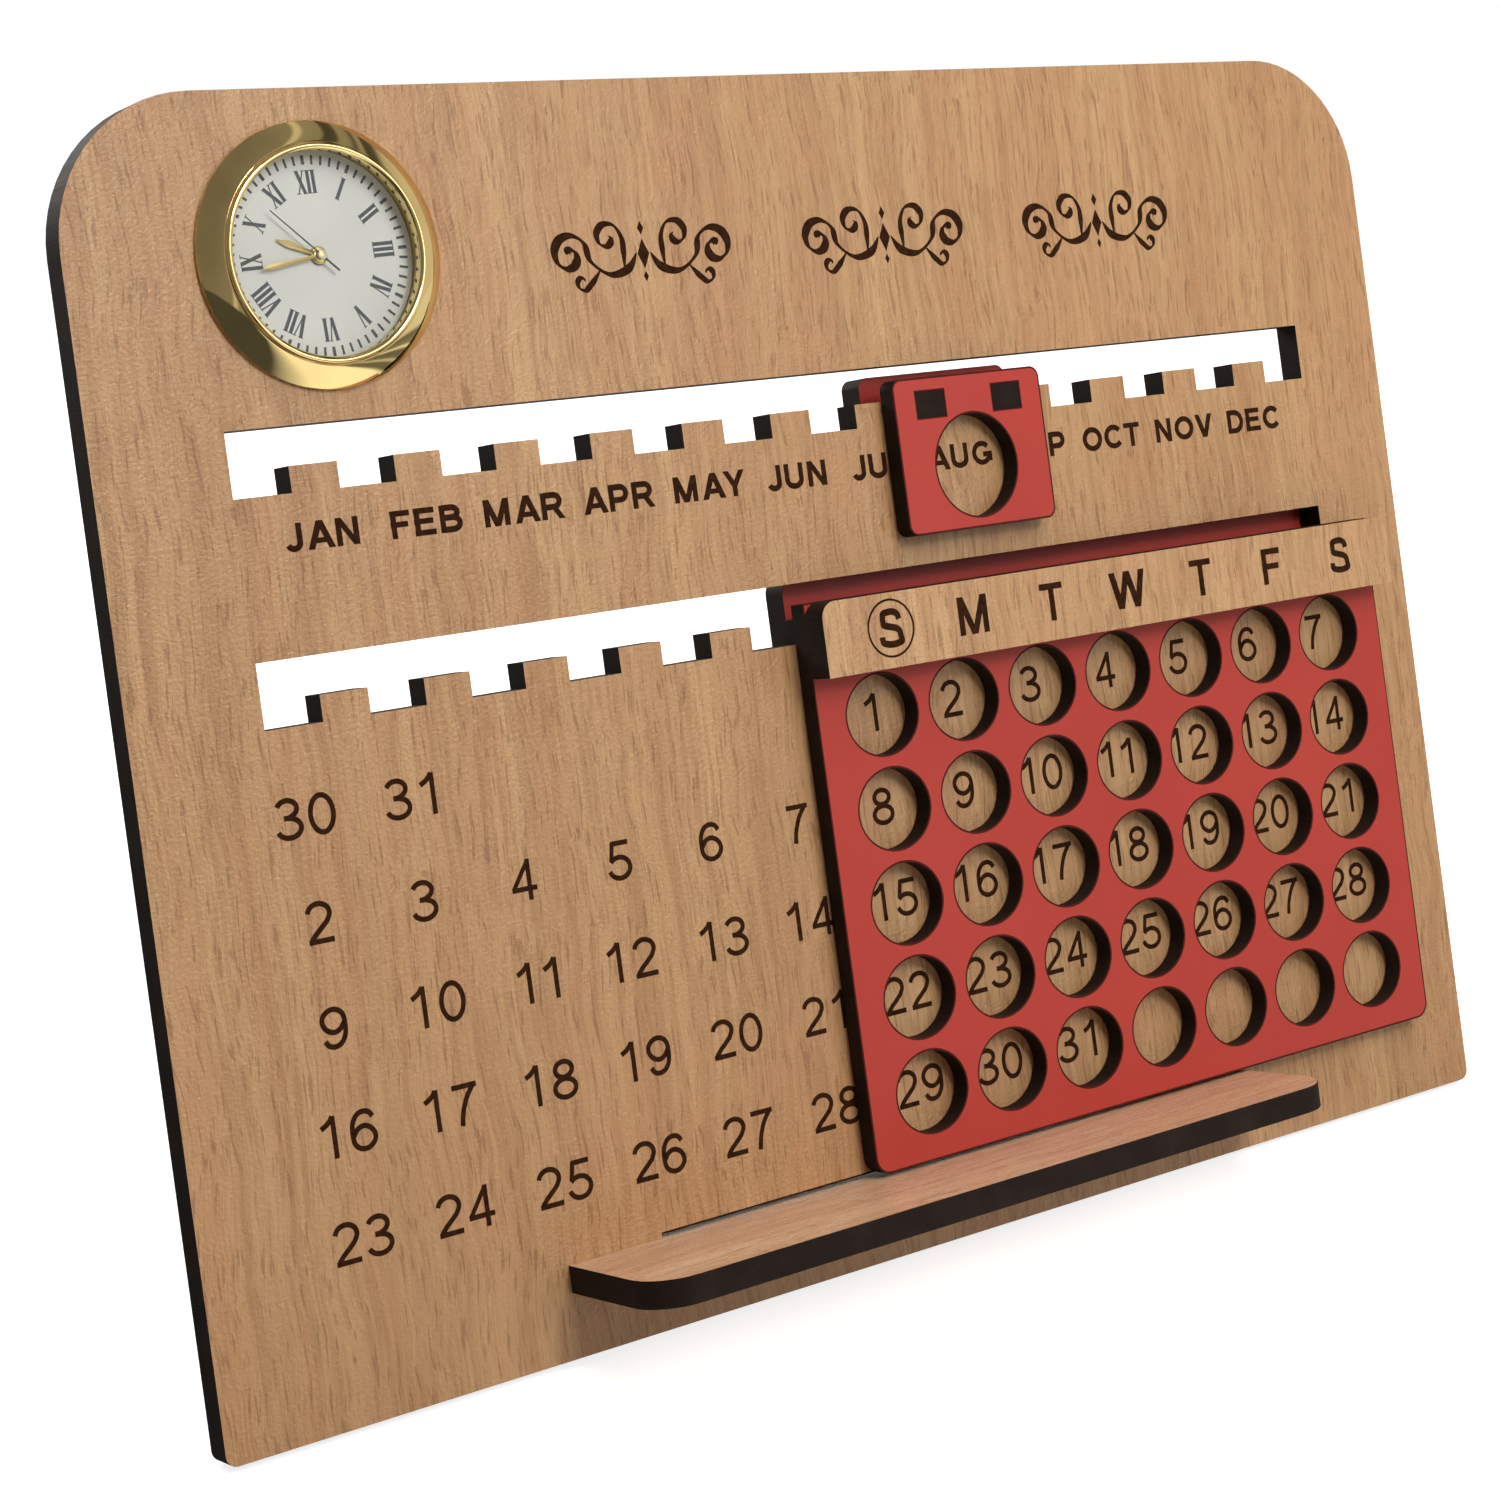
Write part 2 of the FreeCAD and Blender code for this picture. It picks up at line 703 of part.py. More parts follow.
def wheel_train():
    hand_face = number("second_hand_w + hand_thick")
    seconds_wheel = fused(
        rod(CENTRE_PLACE, SECOND_ARBOR, -8.15, hand_face + 0.1),
        toothed(60, FINE, CENTRE_PLACE, -6.8, -6.5, 0),
        toothed(8, FINE, CENTRE_PLACE, -6.5, -5.3, 0),
        rod(CENTRE_PLACE, SECOND_ARBOR + EYE_WALL, hand_face, hand_face + 0.25),
    )
    made("seconds_wheel", seconds_wheel)

    third_phase = facing(60, THIRD_ANGLE + 180, 0, 8)
    third_wheel = fused(
        rod(THIRD_PLACE, ARBOR, -8.15, -3.5),
        toothed(60, FINE, THIRD_PLACE, -5.9, -5.6, third_phase),
        toothed(8, CENTRE_MODULE, THIRD_PLACE, -5.6, -4.3, third_phase),
    )
    made("third_wheel", third_wheel)

    centre_phase = facing(64, THIRD_ANGLE, third_phase, 8)
    centre = toothed(64, CENTRE_MODULE, CENTRE_PLACE, -4.8, -4.5, centre_phase, CANNON_PIPE + RUNNING)
    collar = rod(CENTRE_PLACE, CANNON_PIPE + 0.5, -5.05, -4.8, CANNON_PIPE + RUNNING)
    made("centre_wheel", centre.fuse(collar))

    intermediate_phase = facing(12, INTERMEDIATE_ANGLE + 180, 0, 60)
    intermediate_wheel = fused(
        rod(INTERMEDIATE_PLACE, ARBOR, -8.15, -3.5),
        toothed(12, FINE, INTERMEDIATE_PLACE, -7.3, -6.4, intermediate_phase),
        toothed(60, FINE, INTERMEDIATE_PLACE, -7.6, -7.3, intermediate_phase),
    )
    made("intermediate_wheel", intermediate_wheel)

    rotor_phase = facing(10, ROTOR_ANGLE + 180, intermediate_phase, 60)
    rotor = fused(
        rod(ROTOR_PLACE, ARBOR, -8.15, -3.5),
        rod(ROTOR_PLACE, ROTOR_MAGNET, -6.4, -4.6),
        toothed(10, FINE, ROTOR_PLACE, -7.7, -7.2, rotor_phase),
    )
    made("rotor", rotor)


def motion_work():
    cannon = fused(
        rod(CENTRE_PLACE, CANNON_PIPE, -5.1, number("minute_hand_w + hand_thick") + 0.05),
        toothed(12, MOTION_MODULE, CENTRE_PLACE, -3.3, -2.55, 0),
    )
    bore = Part.makeCylinder(CANNON_BORE, 8, on_clock(CENTRE_PLACE, -5.2))
    made("cannon_pinion", cannon.cut(bore))

    minute_phase = facing(36, MINUTE_ANGLE + 180, 0, 12)
    minute = fused(
        toothed(36, MOTION_MODULE, MINUTE_PLACE, -3.0, -2.7, minute_phase),
        toothed(10, HOUR_MODULE, MINUTE_PLACE, -2.7, -1.9, minute_phase),
    )
    bore = Part.makeCylinder(STUD + RUNNING, 2, on_clock(MINUTE_PLACE, -3.5))
    made("minute_wheel", minute.cut(bore))

    hour_phase = facing(40, MINUTE_ANGLE, minute_phase, 10)
    hour = fused(
        toothed(40, HOUR_MODULE, CENTRE_PLACE, -2.4, -2.1, hour_phase),
        rod(CENTRE_PLACE, HOUR_PIPE, -2.4, number("hour_hand_w + hand_thick") + 0.05),
    )
    bore = Part.makeCylinder(HOUR_BORE, 4, on_clock(CENTRE_PLACE, -2.5))
    made("hour_wheel", hour.cut(bore))

    knob_phase = facing(12, KNOB_ANGLE + 180, minute_phase, 36)
    back = number("case_back")
    knob = number("knob")
    grip = rod(KNOB_PLACE, knob, back - 0.3 - number("knob_tall"), back - 0.3)
    ridges = 18
    for i in range(ridges):
        x, y = polar(knob, i * 360 / ridges, KNOB_PLACE)
        grip = grip.cut(rod((x, y), 0.22, back - 2, back))
    stem = rod(KNOB_PLACE, STEM, back - 0.4, -2.6)
    setting = toothed(12, MOTION_MODULE, KNOB_PLACE, -3.1, -2.6, knob_phase)
    made("setting_knob", fused(grip, stem, setting))


STUD = 0.35
ROTOR_MAGNET = 1.2
STATOR_BORE = 1.45
STATOR_HALF = 1.0            # half the width of the stator's arms
COIL_LENGTH = 9.0
COIL_PLACE = (4.0, 11.3)
COIL_W = -5.9
CORE = 0.5
BOBBIN = 1.7
WINDING = 1.55
PILLARS = (100, 185, 250, 345)
PILLAR_DISTANCE = 14.2


def movement_frame():
    """The main plate with its pillars, stud and the rim that carries the dial, and the rear bridge."""
    front = number("main_plate_w")
    thick = number("plate_thick")
    bridge = number("bridge_w")
    plate_solid = rod(CENTRE_PLACE, number("plate"), front - thick, front)
    plate_solid = plate_solid.cut(rod(CENTRE_PLACE, CANNON_PIPE + RUNNING, front - thick, front))
    for place in (THIRD_PLACE, INTERMEDIATE_PLACE, ROTOR_PLACE):
        plate_solid = plate_solid.cut(rod(place, ARBOR + RUNNING, front - thick, front))
    plate_solid = plate_solid.cut(rod(KNOB_PLACE, STEM_BORE, front - thick, front))
    stud = rod(MINUTE_PLACE, STUD, front - thick, -1.95)
    radius = number("plate")
    rim = rod(CENTRE_PLACE, radius, front, number("dial_w - dial_thick"), radius - 0.9)
    pillars = [rod(polar(PILLAR_DISTANCE, a), 0.9, bridge, front - thick) for a in PILLARS]
    made("main_plate", fused(plate_solid, stud, rim, *pillars))

    bridge_back = bridge - number("bridge_thick")
    bridge_solid = rod(CENTRE_PLACE, number("bridge"), bridge_back, bridge)
    cell = (number("cell_u"), number("cell_v"))
    bridge_solid = bridge_solid.cut(rod(cell, number("cover"), bridge_back, bridge))
    bridge_solid = bridge_solid.cut(rod(KNOB_PLACE, STEM_BORE, bridge_back, bridge))
    made("train_bridge", bridge_solid)


def motor():
    """A coil on its core beside the rotor, and the stator that carries its field round the magnet."""
    left = (COIL_PLACE[0] - COIL_LENGTH / 2, COIL_PLACE[1])
    start = on_clock(left, COIL_W)
    along = Vector(1, 0, 0)

    def across(radius, length, offset=0.0):
        return Part.makeCylinder(radius, length, start + along * offset, along)

    cheek = 0.5
    bobbin = fused(
        across(CORE + 0.3, COIL_LENGTH),
        across(BOBBIN, cheek),
        across(BOBBIN, cheek, COIL_LENGTH - cheek),
    ).cut(across(CORE + 0.02, COIL_LENGTH))
    made("coil_bobbin", bobbin)
    winding = across(WINDING, COIL_LENGTH - 2 * cheek, cheek)
    made("coil_winding", winding.cut(across(CORE + 0.3, COIL_LENGTH)))

    beyond = STATOR_HALF + 0.1
    left_end = (left[0] - beyond, left[1])
    right_end = (left[0] + COIL_LENGTH + beyond, left[1])
    elbow = (left_end[0], left_end[1] - 3.5)
    back, front = COIL_W - 0.2, COIL_W + 0.4
    arms = [across(CORE, COIL_LENGTH + 2 * beyond, -beyond)]
    for start_place, end_place in ((left_end, elbow), (elbow, ROTOR_PLACE), (right_end, ROTOR_PLACE)):
        span = Vector(end_place[0] - start_place[0], end_place[1] - start_place[1], 0)
        arm = Part.makeBox(span.Length, 2 * STATOR_HALF, front - back, Vector(0, -STATOR_HALF, 0))
        arm.rotate(Vector(), Vector(0, 0, 1), math.degrees(math.atan2(span.y, span.x)))
        arm.translate(on_clock(start_place, back))
        arms += [arm, rod(start_place, STATOR_HALF, back, front)]
    arms.append(rod(ROTOR_PLACE, STATOR_BORE + 1, back, front))
    made("stator", fused(*arms).cut(rod(ROTOR_PLACE, STATOR_BORE, back - 1, front + 1)))


def electrics():
    """The circuit board with its quartz can, and the button cell between its contacts."""
    front = number("main_plate_w") - number("plate_thick")
    board_back = front - 0.5
    corner = on_clock((-0.6, -14.0), board_back)
    circuit = Part.makeBox(8.8, 4.6, 0.5, corner)
    chip = Part.makeCylinder(1.1, 0.6, on_clock((1.2, -11.6), board_back - 0.6))
    made("circuit_board", fused(circuit, chip))
    can = Part.makeCylinder(0.7, 5.0, on_clock((3.2, -11.7), board_back - 0.7), Vector(1, 0, 0))
    made("quartz_can", can)

    cell = (number("cell_u"), number("cell_v"))
    cell_front = number("cell_w")
    cell_back = cell_front - number("cell_thick")
    radius = number("cell")
    gasket = rod(cell, radius - 0.5, cell_front - 0.3, cell_front)
    made("button_cell", fused(rod(cell, radius, cell_back, cell_front - 0.3), gasket))
    minus = fused(
        Part.makeBox(5.6, 1.2, 0.2, on_clock((cell[0] - 1.0, cell[1] - 0.6), cell_front)),
        Part.makeBox(1.0, 1.2, front - cell_front, on_clock((cell[0] + 3.6, cell[1] - 0.6), cell_front)),
    )
    plus = Part.makeBox(0.25, 3.0, 2.2, on_clock((cell[0] + radius, cell[1] - 2.4), cell_back + 0.1))
    made("battery_contacts", Part.makeCompound([minus, plus]))


def clock_insert():
    clock_bezel()
    disc("clock_lens", "lens", "lens_w", "lens_thick")
    disc("clock_dial", "dial", "dial_w - dial_thick", "dial_thick", "dial_hole")
    disc("grip_ring", "ring", "ring_back", "ring_front - ring_back", "case")
    clock_case()
    battery_cover()
    hands()
    wheel_train()
    motion_work()
    movement_frame()
    motor()
    electrics()


front_panel()
ledge_plate()
month_slider()
date_slider()
clock_insert()
doc.recompute()

# Nothing is written unless every object is sound.
for item in doc.Objects:
    if {"Invalid", "Error"} & set(item.State):
        raise RuntimeError(f"{item.Name} failed: {item.State}")
for piece in kept:
    if piece.Shape.isNull() or not piece.Shape.isValid():
        raise RuntimeError(f"{piece.Name} has no valid shape")

whole = FreeCAD.BoundBox()
for piece in kept:
    whole.add(piece.Shape.BoundBox)
    piece.Shape.exportStep(f"parts/{piece.Name}.step")
    print(f"{piece.Name}: {len(piece.Shape.Solids)} solid(s), {piece.Shape.Volume:.1f} mm3")
print(f"{len(kept)} nodes, box {whole}")
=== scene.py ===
import json
import math

import bmesh
import bpy
from mathutils import Matrix, Vector

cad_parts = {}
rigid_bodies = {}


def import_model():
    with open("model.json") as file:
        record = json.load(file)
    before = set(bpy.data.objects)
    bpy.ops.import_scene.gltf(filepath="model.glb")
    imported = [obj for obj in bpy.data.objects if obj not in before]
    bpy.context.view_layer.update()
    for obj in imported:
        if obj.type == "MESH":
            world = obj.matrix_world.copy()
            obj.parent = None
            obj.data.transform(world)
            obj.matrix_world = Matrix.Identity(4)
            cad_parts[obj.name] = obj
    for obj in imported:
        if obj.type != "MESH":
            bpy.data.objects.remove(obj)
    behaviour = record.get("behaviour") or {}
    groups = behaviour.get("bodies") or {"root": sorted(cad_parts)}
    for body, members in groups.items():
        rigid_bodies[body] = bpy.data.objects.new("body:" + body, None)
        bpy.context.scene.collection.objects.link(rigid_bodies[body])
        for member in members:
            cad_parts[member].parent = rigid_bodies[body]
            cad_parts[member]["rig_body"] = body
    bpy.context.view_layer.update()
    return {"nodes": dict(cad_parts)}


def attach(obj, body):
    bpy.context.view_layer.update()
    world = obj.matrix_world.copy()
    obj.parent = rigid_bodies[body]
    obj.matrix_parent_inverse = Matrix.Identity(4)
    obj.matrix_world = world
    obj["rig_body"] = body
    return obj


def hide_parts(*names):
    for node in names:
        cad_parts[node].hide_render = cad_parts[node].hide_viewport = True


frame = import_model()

MM = 0.001

# The board frame ------------------------------------------------------------------------------------
# u to the right and v up the panel, from the middle of its lower front edge, and w out of its front
# face, in millimetres. BOARD takes that frame to the desk. A slider's plates have some play from the
# panel, and the header strip lies on the date slider's red front plate.

LEAN = math.radians(13.0)
BOARD_THICK = 5.2
RED_THICK = 3.6
PLAY = 0.4
CLOCK = (-96.6, 183.15)
CASE_RADIUS = 17.4
LEDGE_UNDER, LEDGE_DEPTH = 10.8, 26.5
CASE_TOP, CASE_BACK = CLOCK[1] + CASE_RADIUS, 9.6
FRONT_REACH = LEDGE_UNDER * math.sin(LEAN) - LEDGE_DEPTH * math.cos(LEAN)
BACK_REACH = CASE_TOP * math.sin(LEAN) + CASE_BACK * math.cos(LEAN)
STAND_Y = -(FRONT_REACH + BACK_REACH) / 2
STAND_Z = BOARD_THICK * math.sin(LEAN)
BOARD = Matrix.Translation(Vector((0, STAND_Y, STAND_Z)) * MM) @ Matrix.Rotation(math.pi / 2 - LEAN, 4, "X")
PANEL_FACE = 0.0
HEADER_FACE = PLAY + RED_THICK + BOARD_THICK


def link(made):
    """Puts an object into the scene."""
    bpy.context.scene.collection.objects.link(made)


# Camera ---------------------------------------------------------------------------------------------

# The place in board millimetres, the turn as a rotation vector from the board's axes (u right, v down,
# w away) to the lens's, and the focal length and shift as shares of the picture's width.
CAMERA_PLACE = (-324.8, 131.8, 429.7)
CAMERA_TURN = (-0.020353, -0.614094, -0.134884)
FOCAL_SHARE = 3032.70 / 1500
SHIFT = (-0.0002, -0.1075)
SENSOR = 36.0


def make_camera():
    turn = Vector(CAMERA_TURN)
    spin = Matrix.Rotation(turn.length, 3, turn.normalized())
    board = BOARD.to_3x3()
    right, down, ahead = (board @ Vector((row[0], -row[1], -row[2])) for row in spin)
    place = BOARD @ (Vector(CAMERA_PLACE) * MM)
    data = bpy.data.cameras.new("camera")
    data.sensor_fit = "HORIZONTAL"
    data.sensor_width = SENSOR
    data.lens = SENSOR * FOCAL_SHARE
    data.shift_x, data.shift_y = SHIFT
    data.clip_start = 0.01
    camera = bpy.data.objects.new("camera", data)
    link(camera)
    basis = Matrix((right, -down, -ahead)).transposed().to_4x4()
    camera.matrix_world = Matrix.Translation(place) @ basis
    bpy.context.scene.camera = camera


make_camera()


# Materials ------------------------------------------------------------------------------------------


class Nodes:
    """A short way to write a material's node tree."""

    def __init__(self, tree):
        self.tree = tree
        self.tree.nodes.clear()

    def add(self, kind, inputs=None, **settings):
        """A node with its settings and inputs; an input is a value or another node's socket."""
        node = self.tree.nodes.new(f"ShaderNode{kind}")
        for name, value in settings.items():
            setattr(node, name, value)
        for name, value in (inputs or {}).items():
            socket = node.inputs[name]
            if isinstance(value, bpy.types.NodeSocket):
                self.tree.links.new(value, socket)
            else:
                socket.default_value = value
        return node

    def board(self, stretch=(1, 1, 1)):
        """Coordinates in the board frame, in metres, multiplied by a stretch."""
        place = self.add("TexCoord").outputs["Object"]
        back = BOARD.inverted()
        values = {"Vector": place, "Rotation": back.to_euler(), "Location": back.to_translation()}
        turned = self.add("Mapping", values)
        return self.add("Mapping", {"Vector": turned.outputs[0], "Scale": stretch}).outputs[0]

    def noise(self, place, scale=1.0, detail=3.0, rough=0.5, distortion=0.0):
        values = {"Vector": place, "Scale": scale, "Detail": detail}
        values.update({"Roughness": rough, "Distortion": distortion})
        return self.add("TexNoise", values).outputs[0]

    def ramp(self, factor, *stops):
        """A colour ramp; each stop is a place and a grey value or a colour."""
        node = self.add("ValToRGB", {"Fac": factor})
        elements = node.color_ramp.elements
        while len(elements) < len(stops):
            elements.new(1.0)
        for element, (position, value) in zip(elements, stops):
            element.position = position
            element.color = (*value, 1) if isinstance(value, tuple) else (value, value, value, 1)
        return node.outputs[0]

    def mix(self, factor, first, second):
        """A colour between two values or sockets, by a factor from 0 to 1."""
        node = self.add("Mix", data_type="RGBA")
        for name, kind, value in (("Factor", "VALUE", factor), ("A", "RGBA", first), ("B", "RGBA", second)):
            socket = next(s for s in node.inputs if s.name == name and s.type == kind)
            if isinstance(value, bpy.types.NodeSocket):
                self.tree.links.new(value, socket)
            else:
                socket.default_value = (*value, 1) if isinstance(value, tuple) else value
        return next(s for s in node.outputs if s.type == "RGBA")

    def bump(self, height, strength, distance):
        values = {"Height": height, "Strength": strength, "Distance": distance}
        return self.add("Bump", values).outputs[0]

    def surface(self, colour, roughness, normal=None, **inputs):
        """The principled shader; other inputs are given by name, with _ for a space."""
        values = {"Base Color": colour, "Roughness": roughness}
        if normal is not None:
            values["Normal"] = normal
        values.update({name.replace("_", " "): value for name, value in inputs.items()})
        shader = self.add("BsdfPrincipled", values)
        self.add("OutputMaterial", {"Surface": shader.outputs[0]})


def material(name):
    """A new material and its empty node tree."""
    made = bpy.data.materials.new(name)
    made.use_nodes = True
    return made, Nodes(made.node_tree)


# The laminate's light, dark, rosy and deep tones
BEECH_COLOURS = (
    (0.612, 0.375, 0.184),
    (0.408, 0.212, 0.093),
    (0.550, 0.298, 0.143),
    (0.205, 0.086, 0.030),
)


def beech(name, along="v", tint=(1.0, 1.0, 1.0)):
    """Beech laminate: bands and streaks that wander along the grain, fibres, dark rays and a pebbled film."""
    made, n = material(name)
    wander = 0.006
    drift = n.add("TexNoise", {"Vector": n.board((30, 30, 30)), "Scale": 1.0, "Detail": 2.0}).outputs["Color"]
    place = n.board()
    wandering = n.add("VectorMath", {0: drift, 1: (wander,) * 3, 2: place}, operation="MULTIPLY_ADD")

    def grain(across, length):
        """Noise coordinates for cells this many millimetres across and along the grain."""
        a, b = 1000 / across, 1000 / length
        scale = (b, a, a) if along == "u" else (a, b, a)
        return n.add("Mapping", {"Vector": wandering.outputs[0], "Scale": scale}).outputs[0]

    bands = n.noise(grain(11, 190), 1, 3, 0.6, 0.3)
    blush = n.noise(grain(6, 110), 1, 3)
    streaks = n.noise(grain(2.3, 85), 1, 5, 0.6, 0.2)
    lines = n.noise(grain(0.95, 42), 1, 3, 0.55)
    fibres = n.noise(grain(0.42, 16), 1, 3, 0.6)
    dashes = n.noise(grain(0.58, 7.5), 1, 2, 0.5)
    pebble = n.noise(n.board((1500, 1500, 1500)), 1, 2, 0.5)
    light, dark, rosy, deep = (tuple(c * t for c, t in zip(colour, tint)) for colour in BEECH_COLOURS)
    base = n.mix(n.ramp(bands, (0.38, 0.0), (0.62, 1.0)), light, n.mix(0.40, light, dark))
    base = n.mix(n.ramp(blush, (0.42, 0.0), (0.62, 0.70)), base, rosy)
    base = n.mix(n.ramp(streaks, (0.46, 0.0), (0.64, 0.55)), base, dark)
    base = n.mix(n.ramp(lines, (0.52, 0.0), (0.63, 0.50)), base, dark)
    base = n.mix(n.ramp(fibres, (0.46, 0.0), (0.68, 0.16)), base, deep)
    base = n.mix(n.ramp(dashes, (0.59, 0.0), (0.65, 0.46)), base, deep)
    rough = n.ramp(fibres, (0.3, 0.25), (0.7, 0.34))
    height = n.mix(0.7, n.mix(0.5, fibres, dashes), pebble)
    n.surface(base, rough, n.bump(height, 1.0, 0.00026), Specular_IOR_Level=0.5)
    return made


def burnt(name):
    """A laser-cut edge: charred, with fine lines across the board."""
    made, n = material(name)
    lines = n.noise(n.board((2600, 2600, 60)), 1, 3, 0.6)
    cloud = n.noise(n.board((160, 160, 160)), 1, 3)
    base = n.mix(n.ramp(lines, (0.35, 0.0), (0.75, 0.8)), (0.011, 0.0062, 0.0050), (0.025, 0.0150, 0.0125))
    base = n.mix(n.ramp(cloud, (0.45, 0.0), (0.8, 0.5)), base, (0.036, 0.022, 0.018))
    rough = n.ramp(lines, (0.3, 0.62), (0.8, 0.78))
    n.surface(base, rough, n.bump(lines, 0.3, 0.0001), Specular_IOR_Level=0.14)
    return made


def engraved(name):
    """The floor of a laser engraving in the laminate."""
    made, n = material(name)
    cloud = n.noise(n.board((900, 900, 900)), 1, 3, 0.6)
    base = n.mix(n.ramp(cloud, (0.35, 0.0), (0.72, 1.0)), (0.024, 0.0088, 0.0040), (0.052, 0.021, 0.010))
    rough = n.ramp(cloud, (0.3, 0.65), (0.8, 0.8))
    n.surface(base, rough, n.bump(cloud, 0.3, 0.00005), Specular_IOR_Level=0.04)
    return made


def red_laminate(name):
    """Red board with a slightly cloudy film and a few pale scuffs."""
    made, n = material(name)
    cloud = n.noise(n.board((22, 22, 22)), 1, 3, 0.5)
    fine = n.noise(n.board((1500, 900, 1500)), 1, 2, 0.5)
    scuff = n.noise(n.board((700, 90, 90)), 1, 4, 0.7, 0.5)
    base = n.mix(n.ramp(cloud, (0.35, 0.0), (0.7, 1.0)), (0.475, 0.047, 0.035), (0.520, 0.055, 0.041))
    base = n.mix(n.ramp(scuff, (0.66, 0.0), (0.80, 0.20)), base, (0.50, 0.075, 0.056))
    rough = n.ramp(n.mix(0.5, fine, scuff), (0.3, 0.38), (0.75, 0.52))
    n.surface(base, rough, n.bump(fine, 0.12, 0.00005), Specular_IOR_Level=0.35)
    return made


def metal(name, colour, rough, grain):
    """Metal whose roughness grows by the grain, with faint clouds in its colour."""
    made, n = material(name)
    fine = n.noise(n.board((900, 900, 900)), 1, 3, 0.6)
    cloud = n.noise(n.board((120, 120, 120)), 1, 2)
    darker = tuple(c * 0.86 for c in colour)
    base = n.mix(n.ramp(cloud, (0.35, 0.0), (0.75, 1.0)), colour, darker)
    n.surface(base, n.ramp(fine, (0.3, rough), (0.8, rough + grain)), Metallic=1.0)
    return made


def plain(name, colour, rough, strength, **inputs):
    """Moulded plastic, rubber, lacquer or ink with a fine texture."""
    made, n = material(name)
    fine = n.noise(n.board((700, 700, 700)), 1, 3, 0.6)
    cloud = n.noise(n.board((60, 60, 60)), 1, 2)
    darker = tuple(c * 0.90 for c in colour)
    base = n.mix(n.ramp(cloud, (0.35, 0.0), (0.75, 1.0)), colour, darker)
    roughness = n.ramp(fine, (0.3, rough), (0.8, rough + 0.1))
    n.surface(base, roughness, n.bump(fine, strength, 0.00005), **inputs)
    return made


def clear(name, index):
    """Clear glass. Its reflection grows towards grazing views and with the index; near 1 there is none."""
    made, n = material(name)
    fine = n.noise(n.board((40, 40, 40)), 1, 2)
    rough = n.ramp(fine, (0.3, 0.01), (0.8, 0.03))
    glossy = n.add("BsdfGlossy", {"Color": (1, 1, 1, 1), "Roughness": rough})
    through = n.add("BsdfTransparent", {"Color": (0.985, 0.992, 0.99, 1)})
    fresnel = n.add("Fresnel", {"IOR": index})
    mixed = n.add("MixShader", {0: fresnel.outputs[0], 1: through.outputs[0], 2: glossy.outputs[0]})
    n.add("OutputMaterial", {"Surface": mixed.outputs[0]})
    return made


BEECH = beech("beech_face")
BEECH_STRIP = beech("beech_strip", tint=(1.08, 1.11, 1.16))
# A paler, brighter copy of the beech for the ledge: the paler tone is the ledge's own, and the extra
# brightness is painted light that lifts its level faces to the panel's brightness.
BEECH_LEDGE_TONE_AND_PAINTED_LIGHT = beech("beech_ledge", "u", tint=(1.16, 1.24, 1.60))
BURNT = burnt("burnt_edge")
ENGRAVED = engraved("engraved_mark")
RED = red_laminate("red_face")
SCORCHED = plain("scorched_rim", (0.085, 0.012, 0.010), 0.60, 0.1, Specular_IOR_Level=0.15)
GOLD = metal("gold_plate", (0.90, 0.70, 0.32), 0.045, 0.025)
HAND_GOLD = metal("hand_gold", (0.66, 0.51, 0.22), 0.30, 0.08)
STEEL = metal("plated_steel", (0.62, 0.62, 0.62), 0.25, 0.12)
STATOR = metal("stator_sheet", (0.40, 0.40, 0.42), 0.35, 0.12)
COPPER = metal("enamelled_copper", (0.62, 0.24, 0.09), 0.28, 0.10)
DIAL_WHITE = plain("dial_lacquer", (0.78, 0.79, 0.77), 0.42, 0.02)
DIAL_INK = plain("dial_ink", (0.075, 0.085, 0.10), 0.55, 0.02)
DARK_STEEL = plain("dark_steel", (0.035, 0.036, 0.040), 0.30, 0.02)
BLACK = plain("black_moulding", (0.018, 0.018, 0.019), 0.48, 0.25)
RUBBER = plain("rubber", (0.022, 0.022, 0.022), 0.75, 0.35)
IVORY = plain("natural_moulding", (0.72, 0.70, 0.63), 0.35, 0.06)
GREEN = plain("solder_mask", (0.02, 0.13, 0.05), 0.35, 0.10)
LENS = clear("lens_glass", 1.20)
LENS_BACK = clear("lens_back", 1.001)


# Meshes ---------------------------------------------------------------------------------------------


def link_mesh(name, points, faces, slot, body):
    """A mesh given in the board frame, which rides on a body."""
    mesh = bpy.data.meshes.new(name)
    mesh.from_pydata([BOARD @ (Vector(p) * MM) for p in points], [], faces)
    mesh.materials.append(slot)
    mesh.validate()
    made = bpy.data.objects.new(name, mesh)
    link(made)
    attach(made, body)
    return made


def open_mesh(mesh):
    """The mesh for editing, with doubled corners joined and its faces turned outwards."""
    work = bmesh.new()
    work.from_mesh(mesh)
    bmesh.ops.remove_doubles(work, verts=work.verts, dist=1e-7)
    bmesh.ops.recalc_face_normals(work, faces=work.faces)
    return work


def close_mesh(work, mesh, degrees):
    """Writes the mesh with smooth shading, apart from edges sharper than the angle."""
    for edge in work.edges:
        sharp = len(edge.link_faces) != 2 or edge.calc_face_angle(math.pi) > math.radians(degrees)
        edge.smooth = not sharp
    for face in work.faces:
        face.smooth = True
    work.to_mesh(mesh)
    work.free()


def soften(made, width, slot):
    """Softened edges, which take the slot's material."""
    modifier = made.modifiers.new("soft_edges", "BEVEL")
    modifier.material = slot
    modifier.width = width * MM
    modifier.segments = 1
    modifier.limit_method = "ANGLE"
    modifier.angle_limit = math.radians(35)
    modifier.harden_normals = True


RIM = 0.36


def add_rim(work, turn, slot):
    """A narrow band of another material round the outline and the openings of a board's front face."""
    front = [face for face in work.faces if (turn @ face.normal).z > 0.9]
    band = bmesh.ops.inset_region(work, faces=front, thickness=RIM * MM, use_boundary=True)["faces"]
    for face in band:
        face.material_index = slot


